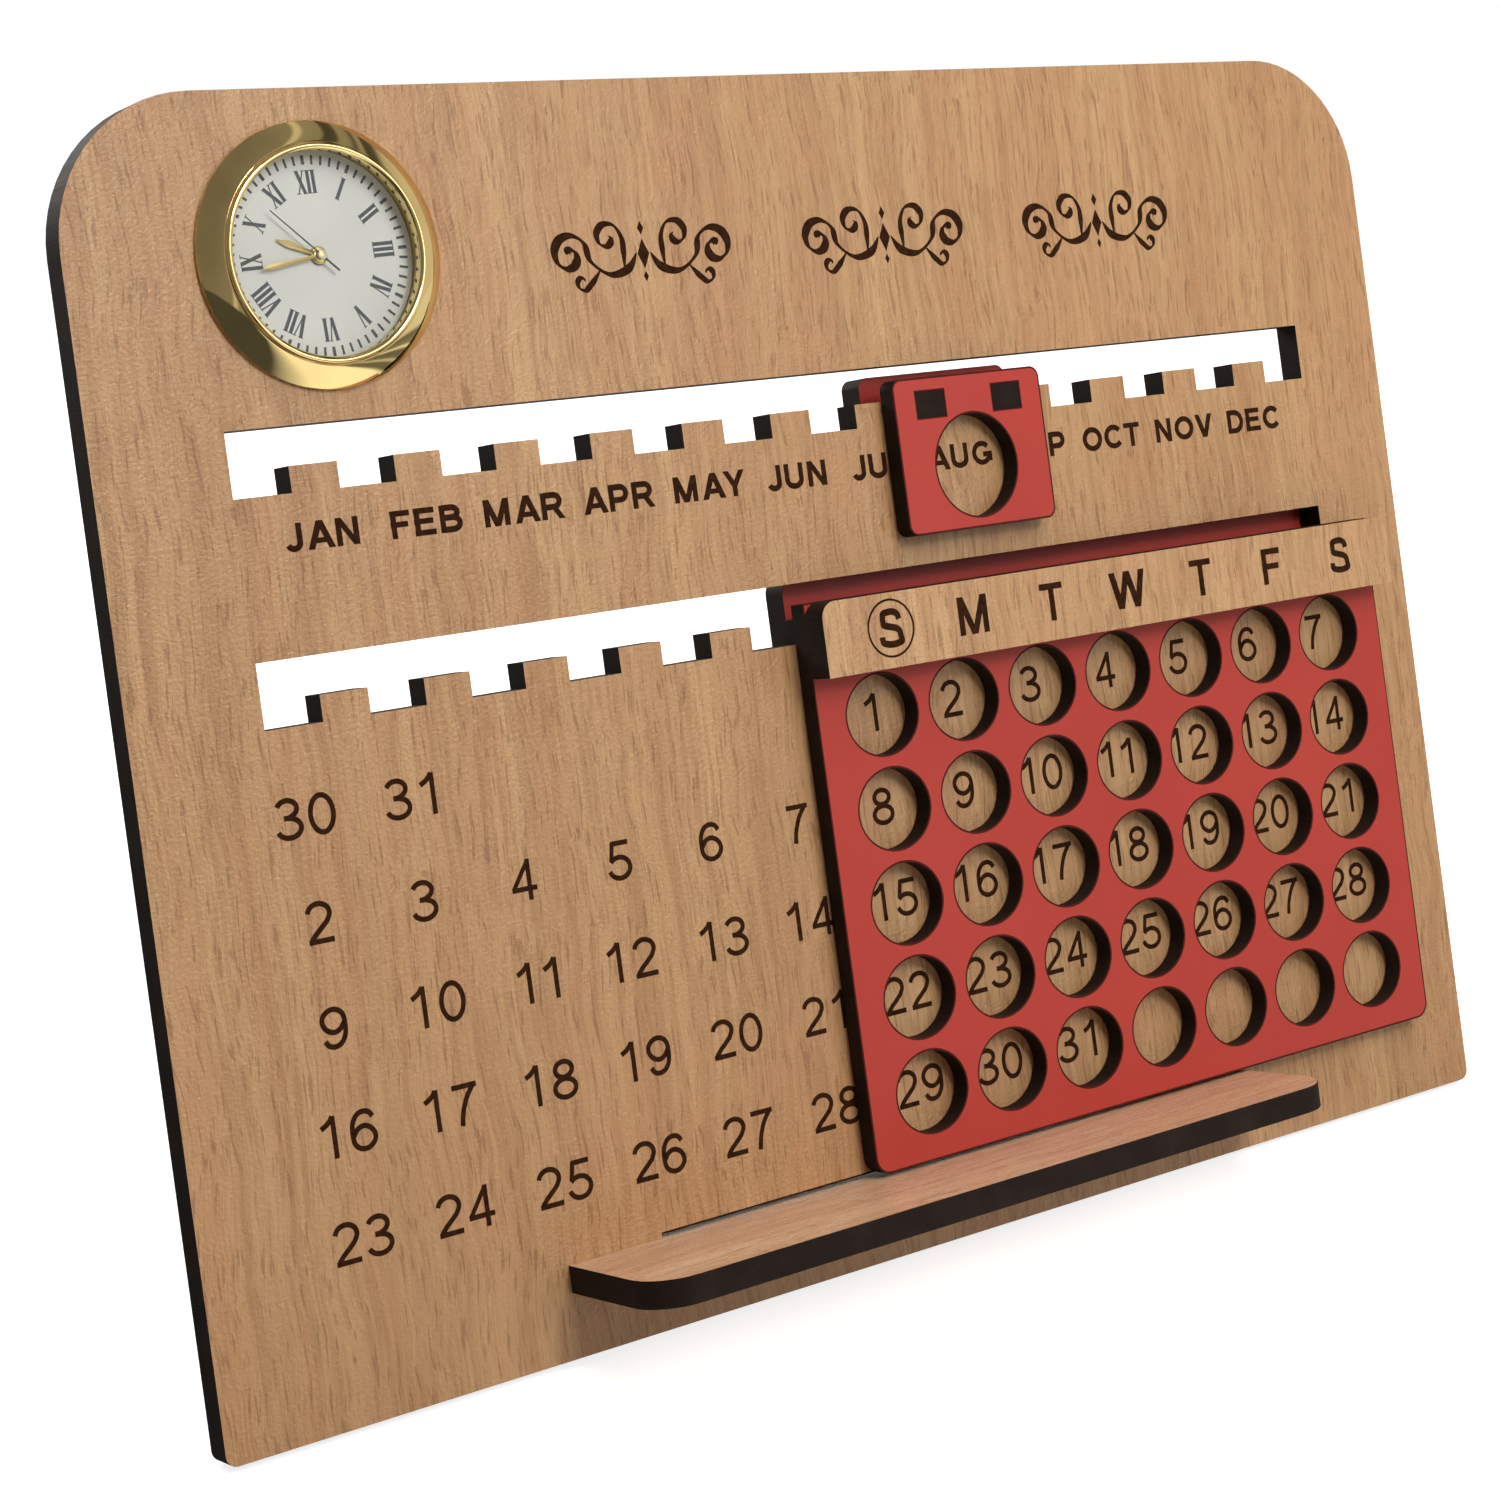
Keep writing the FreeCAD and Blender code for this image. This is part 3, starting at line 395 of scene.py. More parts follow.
def dressed_copy(node, slots, choose, width=0.14, rim=None):
    """A copy of a CAD node with softened edges, which take the last slot.

    choose gives a face's slot by its normal in the board frame, and rim is the slot of a front rim.
    """
    source = frame["nodes"][node]
    work = open_mesh(source.data)
    back = BOARD.inverted()
    turn = back.to_3x3()
    mesh = bpy.data.meshes.new(f"{node}_dressed")
    for slot in slots:
        mesh.materials.append(slot)
    for face in work.faces:
        face.material_index = choose(turn @ face.normal)
    if rim is not None:
        add_rim(work, turn, rim)
    close_mesh(work, mesh, 30)
    made = bpy.data.objects.new(f"{node}_dressed", mesh)
    link(made)
    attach(made, source["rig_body"])
    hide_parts(node)
    soften(made, width, len(slots) - 1)


def paint(node, slot):
    """Gives a CAD node its material."""
    mesh = frame["nodes"][node].data
    mesh.materials.clear()
    mesh.materials.append(slot)


def lathe(name, profile, slot, body, steps):
    """Turns a closed profile of (radius, w) about the clock's axis."""
    points = []
    for i in range(steps):
        angle = 2 * math.pi * i / steps
        for radius, w in profile:
            points.append((CLOCK[0] + radius * math.cos(angle), CLOCK[1] + radius * math.sin(angle), w))
    count = len(profile)
    faces = []
    for i in range(steps):
        following = (i + 1) % steps
        for j in range(count):
            k = (j + 1) % count
            faces.append((i * count + j, following * count + j, following * count + k, i * count + k))
    made = link_mesh(name, points, faces, slot, body)
    close_mesh(open_mesh(made.data), made.data, 28)
    return made


def curve_points(points, steps):
    """A smooth line through the points, with this many steps between two of them."""
    last = len(points) - 1
    path = []
    for i in range(last):
        a, b, c, d = (points[min(max(i + k, 0), last)] for k in (-1, 0, 1, 2))
        for step in range(steps):
            t = step / steps
            place = []
            for p, q, r, s in zip(a, b, c, d):
                square = (2 * p - 5 * q + 4 * r - s) * t**2
                cube = (3 * q - p - 3 * r + s) * t**3
                place.append(0.5 * (2 * q + (r - p) * t + square + cube))
            path.append(tuple(place))
    path.append(points[-1])
    return path


class Marks:
    """Flat marks on a face at w of the board frame, gathered into one mesh.

    Marks that cross lie at slightly different heights, so that no two faces share a plane.
    """

    SUNK = 0.01
    STEP_UP = 0.0004
    STEPS = 7

    def __init__(self, w, thick=0.02):
        self.w = w
        self.thick = thick
        self.points = []
        self.faces = []
        self.level = 0

    def next_top(self):
        """The height of the next mark's face."""
        self.level += 1
        return self.w + self.thick + self.STEP_UP * (self.level % self.STEPS)

    def polygon(self, corners):
        """A filled convex outline, counter-clockwise, with a low wall round it."""
        top = self.next_top()
        start = len(self.points)
        count = len(corners)
        self.points += [(x, y, top) for x, y in corners]
        self.points += [(x, y, self.w - self.SUNK) for x, y in corners]
        self.faces.append(tuple(range(start, start + count)))
        for i in range(count):
            j = (i + 1) % count
            self.faces.append((start + count + i, start + count + j, start + j, start + i))

    def ribbon(self, path, half, closed=False):
        """A stroke along a path; half is its half width, or a list of half widths."""
        halves = half if isinstance(half, list) else [half] * len(path)
        count = len(path)
        top = self.next_top()
        start = len(self.points)
        for i, (x, y) in enumerate(path):
            before = path[i - 1] if closed or i else path[i]
            after = path[(i + 1) % count] if closed or i < count - 1 else path[i]
            into = Vector((x - before[0], y - before[1]))
            out = Vector((after[0] - x, after[1] - y))
            into = into.normalized() if into.length else out.normalized()
            out = out.normalized() if out.length else into
            along = (into + out).normalized()
            reach = halves[i] / max(0.5, along.dot(into))
            side = Vector((-along.y, along.x)) * reach
            for w in (top, self.w - self.SUNK):
                for sign in (1, -1):
                    self.points.append((x + sign * side.x, y + sign * side.y, w))
        spans = count if closed else count - 1
        for i in range(spans):
            a, b = start + 4 * i, start + 4 * ((i + 1) % count)
            self.faces += [(a, a + 1, b + 1, b), (a + 2, a, b, b + 2), (a + 1, a + 3, b + 3, b + 1)]
        if not closed:
            first, last = start, start + 4 * (count - 1)
            self.faces += [(first, first + 2, first + 3, first + 1), (last, last + 1, last + 3, last + 2)]

    def ring(self, centre, radius, half):
        """A round stroke of 48 pieces."""
        turns = (2 * math.pi * i / 48 for i in range(48))
        path = [(centre[0] + radius * math.cos(a), centre[1] + radius * math.sin(a)) for a in turns]
        self.ribbon(path, half, True)

    def link(self, name, slot, body):
        """Makes the mesh of all marks so far."""
        link_mesh(name, self.points, self.faces, slot, body)


# Lettering ------------------------------------------------------------------------------------------
# Each sign is a list of strokes in units of its height. A line is drawn with the pen; a bar is a slanted
# stroke that is cut level at both ends. wide is a stroke's share of the pen's width.


def arc(x, y, rx, ry, start, end, count=12):
    """Points of an ellipse's arc from one angle in degrees to another."""
    turns = (math.radians(start + (end - start) * i / count) for i in range(count + 1))
    return [(x + rx * math.cos(a), y + ry * math.sin(a)) for a in turns]


def line(*points, closed=False, wide=1.0):
    return ("line", list(points), closed, wide)


def bar(x0, y0, x1, y1, wide):
    return ("bar", (x0, y0, x1, y1), False, wide)


def letters(pen):
    """Capital letters for a pen of this width: sign, advance and strokes."""
    h = pen / 2
    low, top = h * 0.92, 1 - h * 0.92
    slant = 1.16

    def bowl(right, under, over, turn):
        middle = (under + over) / 2
        reach = right - h - turn
        side = arc(turn, middle, reach, (over - under) / 2, 90, -90)
        return line((h, over), (turn, over), *side[1:-1], (turn, under), (h, under))

    def stem(x):
        return bar(x, 0, x, 1, 1)

    s_line = [
        (0.70 - h * 0.3, 0.70), (0.63, 0.84), (0.50, top - 0.005), (0.36, top), (0.20, top - 0.03),
        (0.075 + h, 0.80), (0.075 + h, 0.68), (0.19, 0.59), (0.37, 0.535), (0.57, 0.475), (0.75 - h, 0.39),
        (0.77 - h, 0.27), (0.69, 0.14), (0.54, low + 0.01), (0.40, low), (0.24, low + 0.02), (0.11, 0.16),
        (0.04 + h * 0.6, 0.30),
    ]
    g_arc = arc(0.47, 0.5, 0.47 - h, 0.5 - h, 40, 322, 24)
    u_arc = arc(0.41, 0.36, 0.41 - h, 0.36 - low, 180, 360)
    return {
        "J": (0.79, [
            line((0.67 - h, 1), (0.67 - h, 0.34), *arc(0.35, 0.30, 0.32 - h, 0.30 - low, 0, -165)[1:]),
        ]),
        "A": (1.01, [
            bar(h * slant, 0, 0.49, 1, slant),
            bar(0.98 - h * slant, 0, 0.49, 1, slant),
            line((0.24, 0.30), (0.74, 0.30), wide=0.85),
        ]),
        "N": (0.98, [stem(h), stem(0.82 - h), bar(h, 1, 0.82 - h, 0, slant)]),
        "F": (0.84, [
            stem(h),
            line((0, top), (0.70, top), wide=0.92),
            line((0, 0.50), (0.62, 0.50), wide=0.9),
        ]),
        "E": (0.91, [
            stem(h),
            line((0, top), (0.74, top), wide=0.92),
            line((0, 0.52), (0.69, 0.52), wide=0.9),
            line((0, low), (0.76, low), wide=0.92),
        ]),
        "B": (0.98, [stem(h), bowl(0.78, 0.535, top, 0.44), bowl(0.84, low, 0.535, 0.48)]),
        "M": (1.13, [
            stem(h),
            stem(0.97 - h),
            bar(h * 1.1, 1, 0.485, 0, slant * 0.95),
            bar(0.97 - h * 1.1, 1, 0.485, 0, slant * 0.95),
        ]),
        "R": (0.99, [
            stem(h),
            bowl(0.83, 0.455, top, 0.50),
            bar(0.50, 0.45, 0.90 - h * slant, 0, slant * 1.02),
        ]),
        "P": (0.91, [stem(h), bowl(0.80, 0.415, top, 0.46)]),
        "Y": (0.93, [
            bar(h * slant, 1, 0.46, 0.40, slant),
            bar(0.92 - h * slant, 1, 0.46, 0.40, slant),
            bar(0.46, 0, 0.46, 0.45, 1),
        ]),
        "U": (0.98, [line((h, 1), (h, 0.36), *u_arc[1:-1], (0.82 - h, 0.36), (0.82 - h, 1))]),
        "L": (0.82, [stem(h), line((0, low), (0.70, low), wide=0.92)]),
        "G": (1.07, [line(*g_arc, (0.95 - h, 0.26), (0.95 - h, 0.44), (0.52, 0.44), wide=0.96)]),
        "S": (0.91, [line(*curve_points(s_line, 4), wide=0.96)]),
        "O": (1.07, [line(*arc(0.49, 0.5, 0.49 - h, 0.5 - low, 0, 345, 23), closed=True)]),
        "C": (1.00, [line(*arc(0.48, 0.5, 0.48 - h, 0.5 - low, 38, 322, 24))]),
        "T": (0.84, [bar(0.39, 0, 0.39, 1, 1), line((0, top), (0.78, top), wide=0.92)]),
        "V": (0.92, [bar(h * slant, 1, 0.46, 0, slant), bar(0.92 - h * slant, 1, 0.46, 0, slant)]),
        "D": (0.98, [stem(h), bowl(0.86, low, top, 0.40)]),
        "W": (1.30, [
            bar(h * slant, 1, 0.35, 0, slant),
            bar(0.64, 1, 0.35, 0, slant),
            bar(0.64, 1, 0.93, 0, slant),
            bar(1.28 - h * slant, 1, 0.93, 0, slant),
        ]),
    }


def figures(pen):
    """Figures for a pen of this width: sign, advance and strokes."""
    h = pen / 2
    low, top = h, 1 - h
    six = [
        (0.60, 0.77), (0.52, 0.89), (0.38, top), (0.22, 0.88), (0.105, 0.70), (h + 0.015, 0.46),
        (0.10, 0.24), (0.20, 0.11), (0.35, low), (0.50, 0.11), (0.61, 0.24), (0.61, 0.39), (0.52, 0.53),
        (0.36, 0.60), (0.20, 0.54), (0.10, 0.40),
    ]
    six = curve_points(six, 4)
    nine = [(0.70 - x, 1 - y) for x, y in six]
    two = arc(0.35, 0.70, 0.265, top - 0.70, 172, -18, 12)
    two += [(0.53, 0.50), (0.38, 0.36), (0.24, 0.24), (0.14, 0.13), (0.115, low)]
    seven = curve_points([(0.60, 0.93), (0.42, 0.68), (0.30, 0.40), (0.245, 0.18), (0.225, 0.0)], 4)
    strokes = {
        "0": [line(*arc(0.35, 0.5, 0.35 - h - 0.01, top - 0.5, 0, 345, 23), closed=True)],
        "1": [bar(0.44, 0, 0.44, 1, 1), line((0.14, 0.735), (0.28, 0.81), (0.38, 0.90), (0.435, 0.99))],
        "2": [line(*two), line((0.05, low), (0.66, low))],
        "3": [
            line(*arc(0.33, 0.74, 0.24, top - 0.74, 160, -62, 14), (0.36, 0.53), (0.24, 0.53)),
            line((0.24, 0.53), (0.38, 0.52), *arc(0.34, 0.29, 0.285, 0.29 - low, 62, -165, 16)),
        ],
        "4": [
            bar(0.50, 0, 0.50, 1, 1),
            line((0.50, 0.95), (0.08, 0.31), wide=0.92),
            line((0.03, 0.285), (0.69, 0.285)),
        ],
        "5": [
            line((0.17, top), (0.63, top)),
            line((0.205, 0.97), (0.13, 0.50), wide=0.95),
            line(*arc(0.34, 0.325, 0.285, 0.325 - low, 143, -168, 18)),
        ],
        "6": [line(*six)],
        "7": [line((0.05, top), (0.68, top)), line(*seven)],
        "8": [
            line(*arc(0.35, 0.745, 0.225, top - 0.745, 0, 340, 17), closed=True),
            line(*arc(0.35, 0.29, 0.28, 0.29 - low, 0, 340, 17), closed=True),
        ],
        "9": [line(*nine)],
    }
    advance = 0.80
    return {sign: (advance, drawn) for sign, drawn in strokes.items()}


KERNING = {"11": -0.10, "AY": -0.11}


def placed_strokes(font, word):
    """The word's strokes as (kind, points, closed, wide), one sign after another."""
    x = 0.0
    for i, sign in enumerate(word):
        x += KERNING.get(word[i - 1 : i + 1], 0) if i else 0
        advance, strokes = font[sign]
        for kind, shape, closed, wide in strokes:
            points = [shape[:2], shape[2:]] if kind == "bar" else shape
            yield kind, [(x + a, b) for a, b in points], closed, wide
        x += advance


def write(marks, font, word, centre, height, pen, stretch):
    """Draws a word with the middle of its ink at centre, in board millimetres."""
    strokes = list(placed_strokes(font, word))
    places = [a for stroke in strokes for a, b in stroke[1]]
    across = height * stretch
    left = centre[0] - (min(places) + max(places)) / 2 * across
    foot = centre[1] - height / 2
    for kind, points, closed, wide in strokes:
        points = [(left + a * across, foot + b * height) for a, b in points]
        half = pen * wide * height / 2
        if kind == "bar":
            low, high = sorted(points, key=lambda point: point[1])
            corners = [(low[0] - half, low[1]), (low[0] + half, low[1])]
            marks.polygon([*corners, (high[0] + half, high[1]), (high[0] - half, high[1])])
        else:
            marks.ribbon(points, half, closed)


# Boards ---------------------------------------------------------------------------------------------


def upright(normal):
    """Laminate on the front and back of a board that stands, and a burnt edge all round."""
    return 0 if abs(normal.z) > 0.7 else 1


def level(normal):
    """Laminate on the top and under side of a board that lies, and a burnt edge all round."""
    return 0 if abs(normal.y) > 0.7 else 1


def dress_boards():
    """The laser-cut boards. The header strip's softened edges keep the laminate's colour."""
    dressed_copy("front_panel", [BEECH, BURNT], upright)
    # The ledge's level faces take the brighter beech copy, which partly holds painted light.
    dressed_copy("ledge_plate", [BEECH_LEDGE_TONE_AND_PAINTED_LIGHT, BURNT], level)
    dressed_copy("date_header_strip", [BURNT, BEECH_STRIP], lambda normal: 1 - upright(normal))
    for node in ("month_front_plate", "date_front_plate"):
        dressed_copy(node, [RED, BURNT, SCORCHED], upright, rim=2)
    for node in ("month_back_plate", "date_back_bar"):
        dressed_copy(node, [RED, BURNT], upright)
    for node in ("month_pegs", "date_pegs"):
        dressed_copy(node, [BURNT], lambda normal: 0, 0.1)


MONTHS = "JAN FEB MAR APR MAY JUN JUL AUG SEP OCT NOV DEC".split()
DATE_ROWS = (
    ["30", "31", "", "", "", ""] + [str(d) for d in range(1, 8)],
    [str(d) for d in range(2, 15)],
    [str(d) for d in range(9, 22)],
    [str(d) for d in range(16, 29)],
    [str(d) for d in range(23, 32)] + ["", "", "", ""],
)

# Places of the first sign and the pitches to the right and down, in board millimetres
MONTHS_LEFT, DATES_LEFT, DAYS_LEFT = -102.75, -112.3, 0.15
MONTHS_UP, DATES_UP, DAYS_UP = 139.22, 95.75, 110.55
TEXT_PITCH, DATE_PITCH_DOWN, DAY_PITCH = 18.74, 16.76, 18.77


def engrave_months():
    height, pen, stretch = 4.5, 0.226, 1.145
    bold = letters(pen)
    marks = Marks(PANEL_FACE)
    for k, month in enumerate(MONTHS):
        write(marks, bold, month, (MONTHS_LEFT + TEXT_PITCH * k, MONTHS_UP), height, pen, stretch)
    marks.link("month_names", ENGRAVED, "stand")


def engrave_dates():
    height, pen, stretch = 6.75, 0.128, 1.075
    regular = figures(pen)
    marks = Marks(PANEL_FACE)
    for j, row in enumerate(DATE_ROWS):
        for k, date in enumerate(row):
            if date:
                place = (DATES_LEFT + TEXT_PITCH * k, DATES_UP - DATE_PITCH_DOWN * j)
                write(marks, regular, date, place, height, pen, stretch)
    marks.link("date_figures", ENGRAVED, "stand")


def engrave_weekdays():
    """The weekdays' first letters on the header strip, with a ring round the first."""
    height, pen, stretch = 6.9, 0.184, 1.02
    ring, ring_half = 5.0, 0.20
    medium = letters(pen)
    marks = Marks(HEADER_FACE)
    for k, day in enumerate("SMTWTFS"):
        write(marks, medium, day, (DAYS_LEFT + DAY_PITCH * k, DAYS_UP), height, pen, stretch)
    marks.ring((DAYS_LEFT, DAYS_UP), ring, ring_half)
    marks.link("weekday_letters", ENGRAVED, "date_slider")


def char_mortise():
    """A dark line along the upper edge of the ledge's mortise: partly the laser's scorch, partly painted
    shade that widens the dark gap below it.
    """
    reach, top, half = 57.55, 16.0, 0.16
    middle = top + half + 0.01
    marks = Marks(PANEL_FACE)
    marks.ribbon([(-reach, middle), (reach, middle)], half)
    marks.link("mortise_char", ENGRAVED, "stand")


PEN_ANGLE = math.radians(38)


def calligraphy(marks, points, centre, mirror, thin, thick):
    """A stroke of a broad pen through the points, tapered at both ends; mirror is 1 or -1."""
    path = curve_points(points, 8)
    count = len(path)
    halves = []
    for i in range(count):
        before, after = path[max(i - 1, 0)], path[min(i + 1, count - 1)]
        heading = math.atan2(after[1] - before[1], after[0] - before[0])
        share = abs(math.sin(heading - PEN_ANGLE)) ** 1.4
        taper = min(1.0, (i + 0.6) / 9, (count - i - 0.4) / 9)
        halves.append((thin + (thick - thin) * share) * taper)
    placed = [(centre[0] + mirror * x, centre[1] + y) for x, y in path]
    marks.ribbon(placed, halves)


def spiral(x, y, radius, start, turn, count=9):
    """Points of a curl that winds in to half a millimetre; angles in degrees."""
    points = []
    for i in range(count):
        share = i / (count - 1)
        angle = math.radians(start + turn * share)
        reach = radius + (0.5 - radius) * share
        points.append((x + reach * math.cos(angle), y + reach * math.sin(angle)))
    return points


def scroll(marks, centre):
    """An engraved ornament: a lozenge with a pair of scrolls, leaves and tendrils mirrored about it."""
    main = [(1.4, 0.2), (3.4, -2.4), (7.2, -3.2), (10.8, -0.8)] + spiral(15.0, 0.4, 3.8, 150, -480, 12)
    upper = [(4.2, -2.6), (4.0, 0.4)] + spiral(7.1, 3.0, 3.0, 180, -410)
    lower = [(9.0, -2.2), (10.6, -4.0)] + spiral(12.9, -4.2, 1.6, 200, 330, 7)
    for mirror in (1, -1):
        calligraphy(marks, main, centre, mirror, 0.26, 0.86)
        calligraphy(marks, upper, centre, mirror, 0.22, 0.70)
        calligraphy(marks, lower, centre, mirror, 0.20, 0.56)
    for up, half, tall in ((0.0, 1.2, 2.6), (4.4, 0.65, 1.2), (-3.9, 0.5, 0.9)):
        x, y = centre[0], centre[1] + up
        marks.polygon([(x - half, y), (x, y - tall), (x + half, y), (x, y + tall)])


SCROLLS_ACROSS, SCROLLS_UP = (-35.0, 17.5, 69.0), 180.0


def engrave_scrolls():
    marks = Marks(PANEL_FACE)
    for across in SCROLLS_ACROSS:
        scroll(marks, (across, SCROLLS_UP))
    marks.link("scroll_ornaments", ENGRAVED, "stand")


# Clock ----------------------------------------------------------------------------------------------


def clock_mark(place, degrees):
    """A function that puts (across, outward) at a radius and a clockwise angle on the dial."""
    angle = math.radians(90 - degrees)
    out = Vector((math.cos(angle), math.sin(angle)))
    across = Vector((out.y, -out.x))

    def put(x, y):
        spot = Vector(CLOCK) + across * x + out * (place + y)
        return (spot.x, spot.y)

    return put


NUMERALS = ("XII", "I", "II", "III", "IV", "V", "VI", "VII", "VIII", "IX", "X", "XI")
NUMERAL_WIDTHS = {"I": 0.92, "V": 1.72, "X": 1.80}
NUMERAL_HEIGHT = 3.75
NUMERAL_FOOT = 9.95
THICK_STROKE, THIN_STROKE, SERIF = 0.30, 0.11, 0.07
MINUTE_FOOT, MINUTE_LONG = 14.6, 1.5
DIAL_TURN = 2.1
DIAL_FACE = -0.3
PRINT_THICK = 0.012


def roman(marks, put, numeral):
    """A serif numeral that stands with its foot towards the dial's centre."""
    height = NUMERAL_HEIGHT
    low, high = SERIF, height - SERIF

    def stroke(start, end, half):
        marks.ribbon([put(*start), put(*end)], half)

    def serif(middle, y, reach):
        stroke((middle - reach, y), (middle + reach, y), SERIF)

    left = -sum(NUMERAL_WIDTHS[sign] for sign in numeral) / 2
    for sign in numeral:
        middle = left + NUMERAL_WIDTHS[sign] / 2
        if sign == "I":
            stroke((middle, 0), (middle, height), THICK_STROKE)
            serif(middle, low, 0.48)
            serif(middle, high, 0.48)
        elif sign == "V":
            stroke((middle - 0.58, height), (middle + 0.04, 0), THICK_STROKE)
            stroke((middle + 0.62, height), (middle + 0.06, 0), THIN_STROKE)
            serif(middle - 0.58, high, 0.42)
            serif(middle + 0.62, high, 0.32)
        else:
            stroke((middle - 0.60, height), (middle + 0.60, 0), THICK_STROKE)
            stroke((middle + 0.60, height), (middle - 0.60, 0), THIN_STROKE)
            for side in (-0.6, 0.6):
                serif(middle + side, high, 0.36)
                serif(middle + side, low, 0.36)
        left += NUMERAL_WIDTHS[sign]


def print_dial():
    """Sixty minute marks, a little wider at the hours, and the hours in Roman numerals."""
    marks = Marks(DIAL_FACE, PRINT_THICK)
    for minute in range(60):
        put = clock_mark(MINUTE_FOOT, minute * 6 - DIAL_TURN)
        half = 0.28 if minute % 5 == 0 else 0.21
        marks.ribbon([put(0, 0), put(0, MINUTE_LONG)], half)
    for hour, numeral in enumerate(NUMERALS):
        roman(marks, clock_mark(NUMERAL_FOOT, hour * 30 - DIAL_TURN), numeral)
    marks.link("dial_print", DIAL_INK, "clock_insert")


FLANGE, FLANGE_SEAT = 21.5, 0.1
TUBE, TUBE_BACK = 17.35, -1.6
LENS_SEAT, LENS_SEAT_W = 17.1, 1.9
SIGHT = 16.45


def turn_bezel():
    """The bezel: tube, flange, a cone up to the rolled bead, and the bore with the lens's seat."""
    tube = [(TUBE, TUBE_BACK), (TUBE, FLANGE_SEAT)]
    flange = [(FLANGE - 0.15, FLANGE_SEAT), (FLANGE, FLANGE_SEAT + 0.15), (FLANGE, 0.75), (21.38, 0.92)]
    bead = [
        (17.98, 2.98), (17.76, 3.02), (17.66, 3.12), (17.60, 3.28), (17.48, 3.48), (17.28, 3.58),
        (17.06, 3.59), (16.80, 3.53), (16.58, 3.36), (16.48, 3.16), (SIGHT, 2.9),
    ]
    bore = [(SIGHT, LENS_SEAT_W), (LENS_SEAT, LENS_SEAT_W), (LENS_SEAT, TUBE_BACK)]
    bezel = lathe("bezel_turned", tube + flange + bead + bore, GOLD, "clock_insert", 192)
    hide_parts("clock_bezel")


def turn_lens():
    """The lens, slightly domed at its edge. Its rear face has the material without a reflection."""
    rear, radius = LENS_SEAT_W + 0.02, LENS_SEAT - 0.05
    profile = [(0.0, rear), (radius, rear), (radius, 2.72), (16.44, 2.86), (14.0, 2.88), (0.0, 2.90)]
    lens = lathe("lens_turned", profile, LENS, "clock_insert", 96)
    lens.data.materials.append(LENS_BACK)
    back = BOARD.inverted()
    for face in lens.data.polygons:
        if (back @ face.center).z < (rear + 0.1) * MM:
            face.material_index = 1
    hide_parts("clock_lens")


def turn_dial():
    """A thin disc with softened edges and a hole for the hands' pipes."""
    hole, radius, back, soft = 1.5, 17.04, -0.6, 0.02
    profile = [
        (hole, back), (radius, back), (radius, DIAL_FACE - soft),
        (radius - soft, DIAL_FACE), (hole + soft, DIAL_FACE), (hole, DIAL_FACE - soft),
    ]
    dial = lathe("dial_turned", profile, DIAL_WHITE, "clock_insert", 96)
    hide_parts("clock_dial")


def faceted_hand(name, body, degrees, outline, w, thick, ridge, slot):
    """A hand with a ridge along its middle; outline is (distance, half width) from tail to tip."""
    put = clock_mark(0, degrees)
    top = w + thick
    points, faces = [], []
    for distance, half in outline:
        for x, z in ((-half, w), (half, w), (half, top), (0, top + ridge), (-half, top)):
            points.append((*put(x, distance), z))
    for i in range(len(outline) - 1):
        for j in range(5):
            k = (j + 1) % 5
            faces.append((5 * i + j, 5 * i + k, 5 * i + 5 + k, 5 * i + 5 + j))
    faces += [tuple(range(5))[::-1], tuple(range(len(points) - 5, len(points)))]
    blade = link_mesh(f"{name}_blade", points, faces, slot, body)
    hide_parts(f"{name}_hand")


def hand_eye(name, body, inner, outer, w, thick):
    """The gold ring that holds a hand on its pipe, with a softened outer edge."""
    top = w + thick
    rim = [(inner, w), (outer, w), (outer, top), (outer - 0.1, top + 0.04), (inner, top + 0.04)]
    lathe(f"{name}_eye", rim, HAND_GOLD, body, 48)


# The hands' angles in degrees clockwise from twelve, and their undersides
HOUR_TURN, MINUTE_TURN, SECOND_TURN = 292.0, 261.0, 313.0
HOUR_W, MINUTE_W, SECOND_W = 0.05, 0.45, 0.85


def make_hands():
    thick, ridge = 0.10, 0.09
    hour = [(0.9, 0.30), (2.2, 0.34), (5.6, 0.60), (7.80, 0.05)]
    faceted_hand("hour", "hours", HOUR_TURN, hour, HOUR_W, thick, ridge, HAND_GOLD)
    hand_eye("hour", "hours", 1.15, 1.42, HOUR_W, thick)
    minute = [(0.6, 0.26), (2.0, 0.30), (8.8, 0.46), (10.90, 0.05)]
    faceted_hand("minute", "minutes", MINUTE_TURN, minute, MINUTE_W, thick, ridge, HAND_GOLD)
    hand_eye("minute", "minutes", 0.75, 1.18, MINUTE_W, thick)
    thick, ridge = 0.12, 0.03
    second = [(-3.9, 0.15), (-1.2, 0.14), (0.0, 0.12), (11.0, 0.07)]
    faceted_hand("second", "seconds", SECOND_TURN, second, SECOND_W, thick, ridge, DARK_STEEL)
    hand_eye("second", "seconds", 0.30, 0.80, SECOND_W, thick)
    cap = [(0.0, 1.04), (0.60, 1.04), (0.60, 1.18), (0.50, 1.31), (0.26, 1.35), (0.0, 1.36)]
    lathe("centre_cap", cap, HAND_GOLD, "seconds", 40)


def paint_movement():
    """The parts inside and behind the clock, which keep their CAD shapes."""
    for node in ("clock_case", "battery_cover", "coil_bobbin"):
        paint(node, BLACK)
    paint("grip_ring", RUBBER)
    for node in ("main_plate", "train_bridge"):
        paint(node, IVORY)
    for wheel in ("seconds", "intermediate", "third", "centre", "minute", "hour"):
        paint(f"{wheel}_wheel", IVORY)
    for node in ("rotor", "cannon_pinion", "setting_knob"):
        paint(node, IVORY)
    paint("coil_winding", COPPER)
    paint("stator", STATOR)
    paint("circuit_board", GREEN)
    for node in ("quartz_can", "button_cell", "battery_contacts"):
        paint(node, STEEL)


dress_boards()
engrave_months()
engrave_dates()
engrave_weekdays()
engrave_scrolls()
char_mortise()
turn_bezel()
turn_lens()
turn_dial()
print_dial()
make_hands()
paint_movement()


# Light and floor ------------------------------------------------------------------------------------


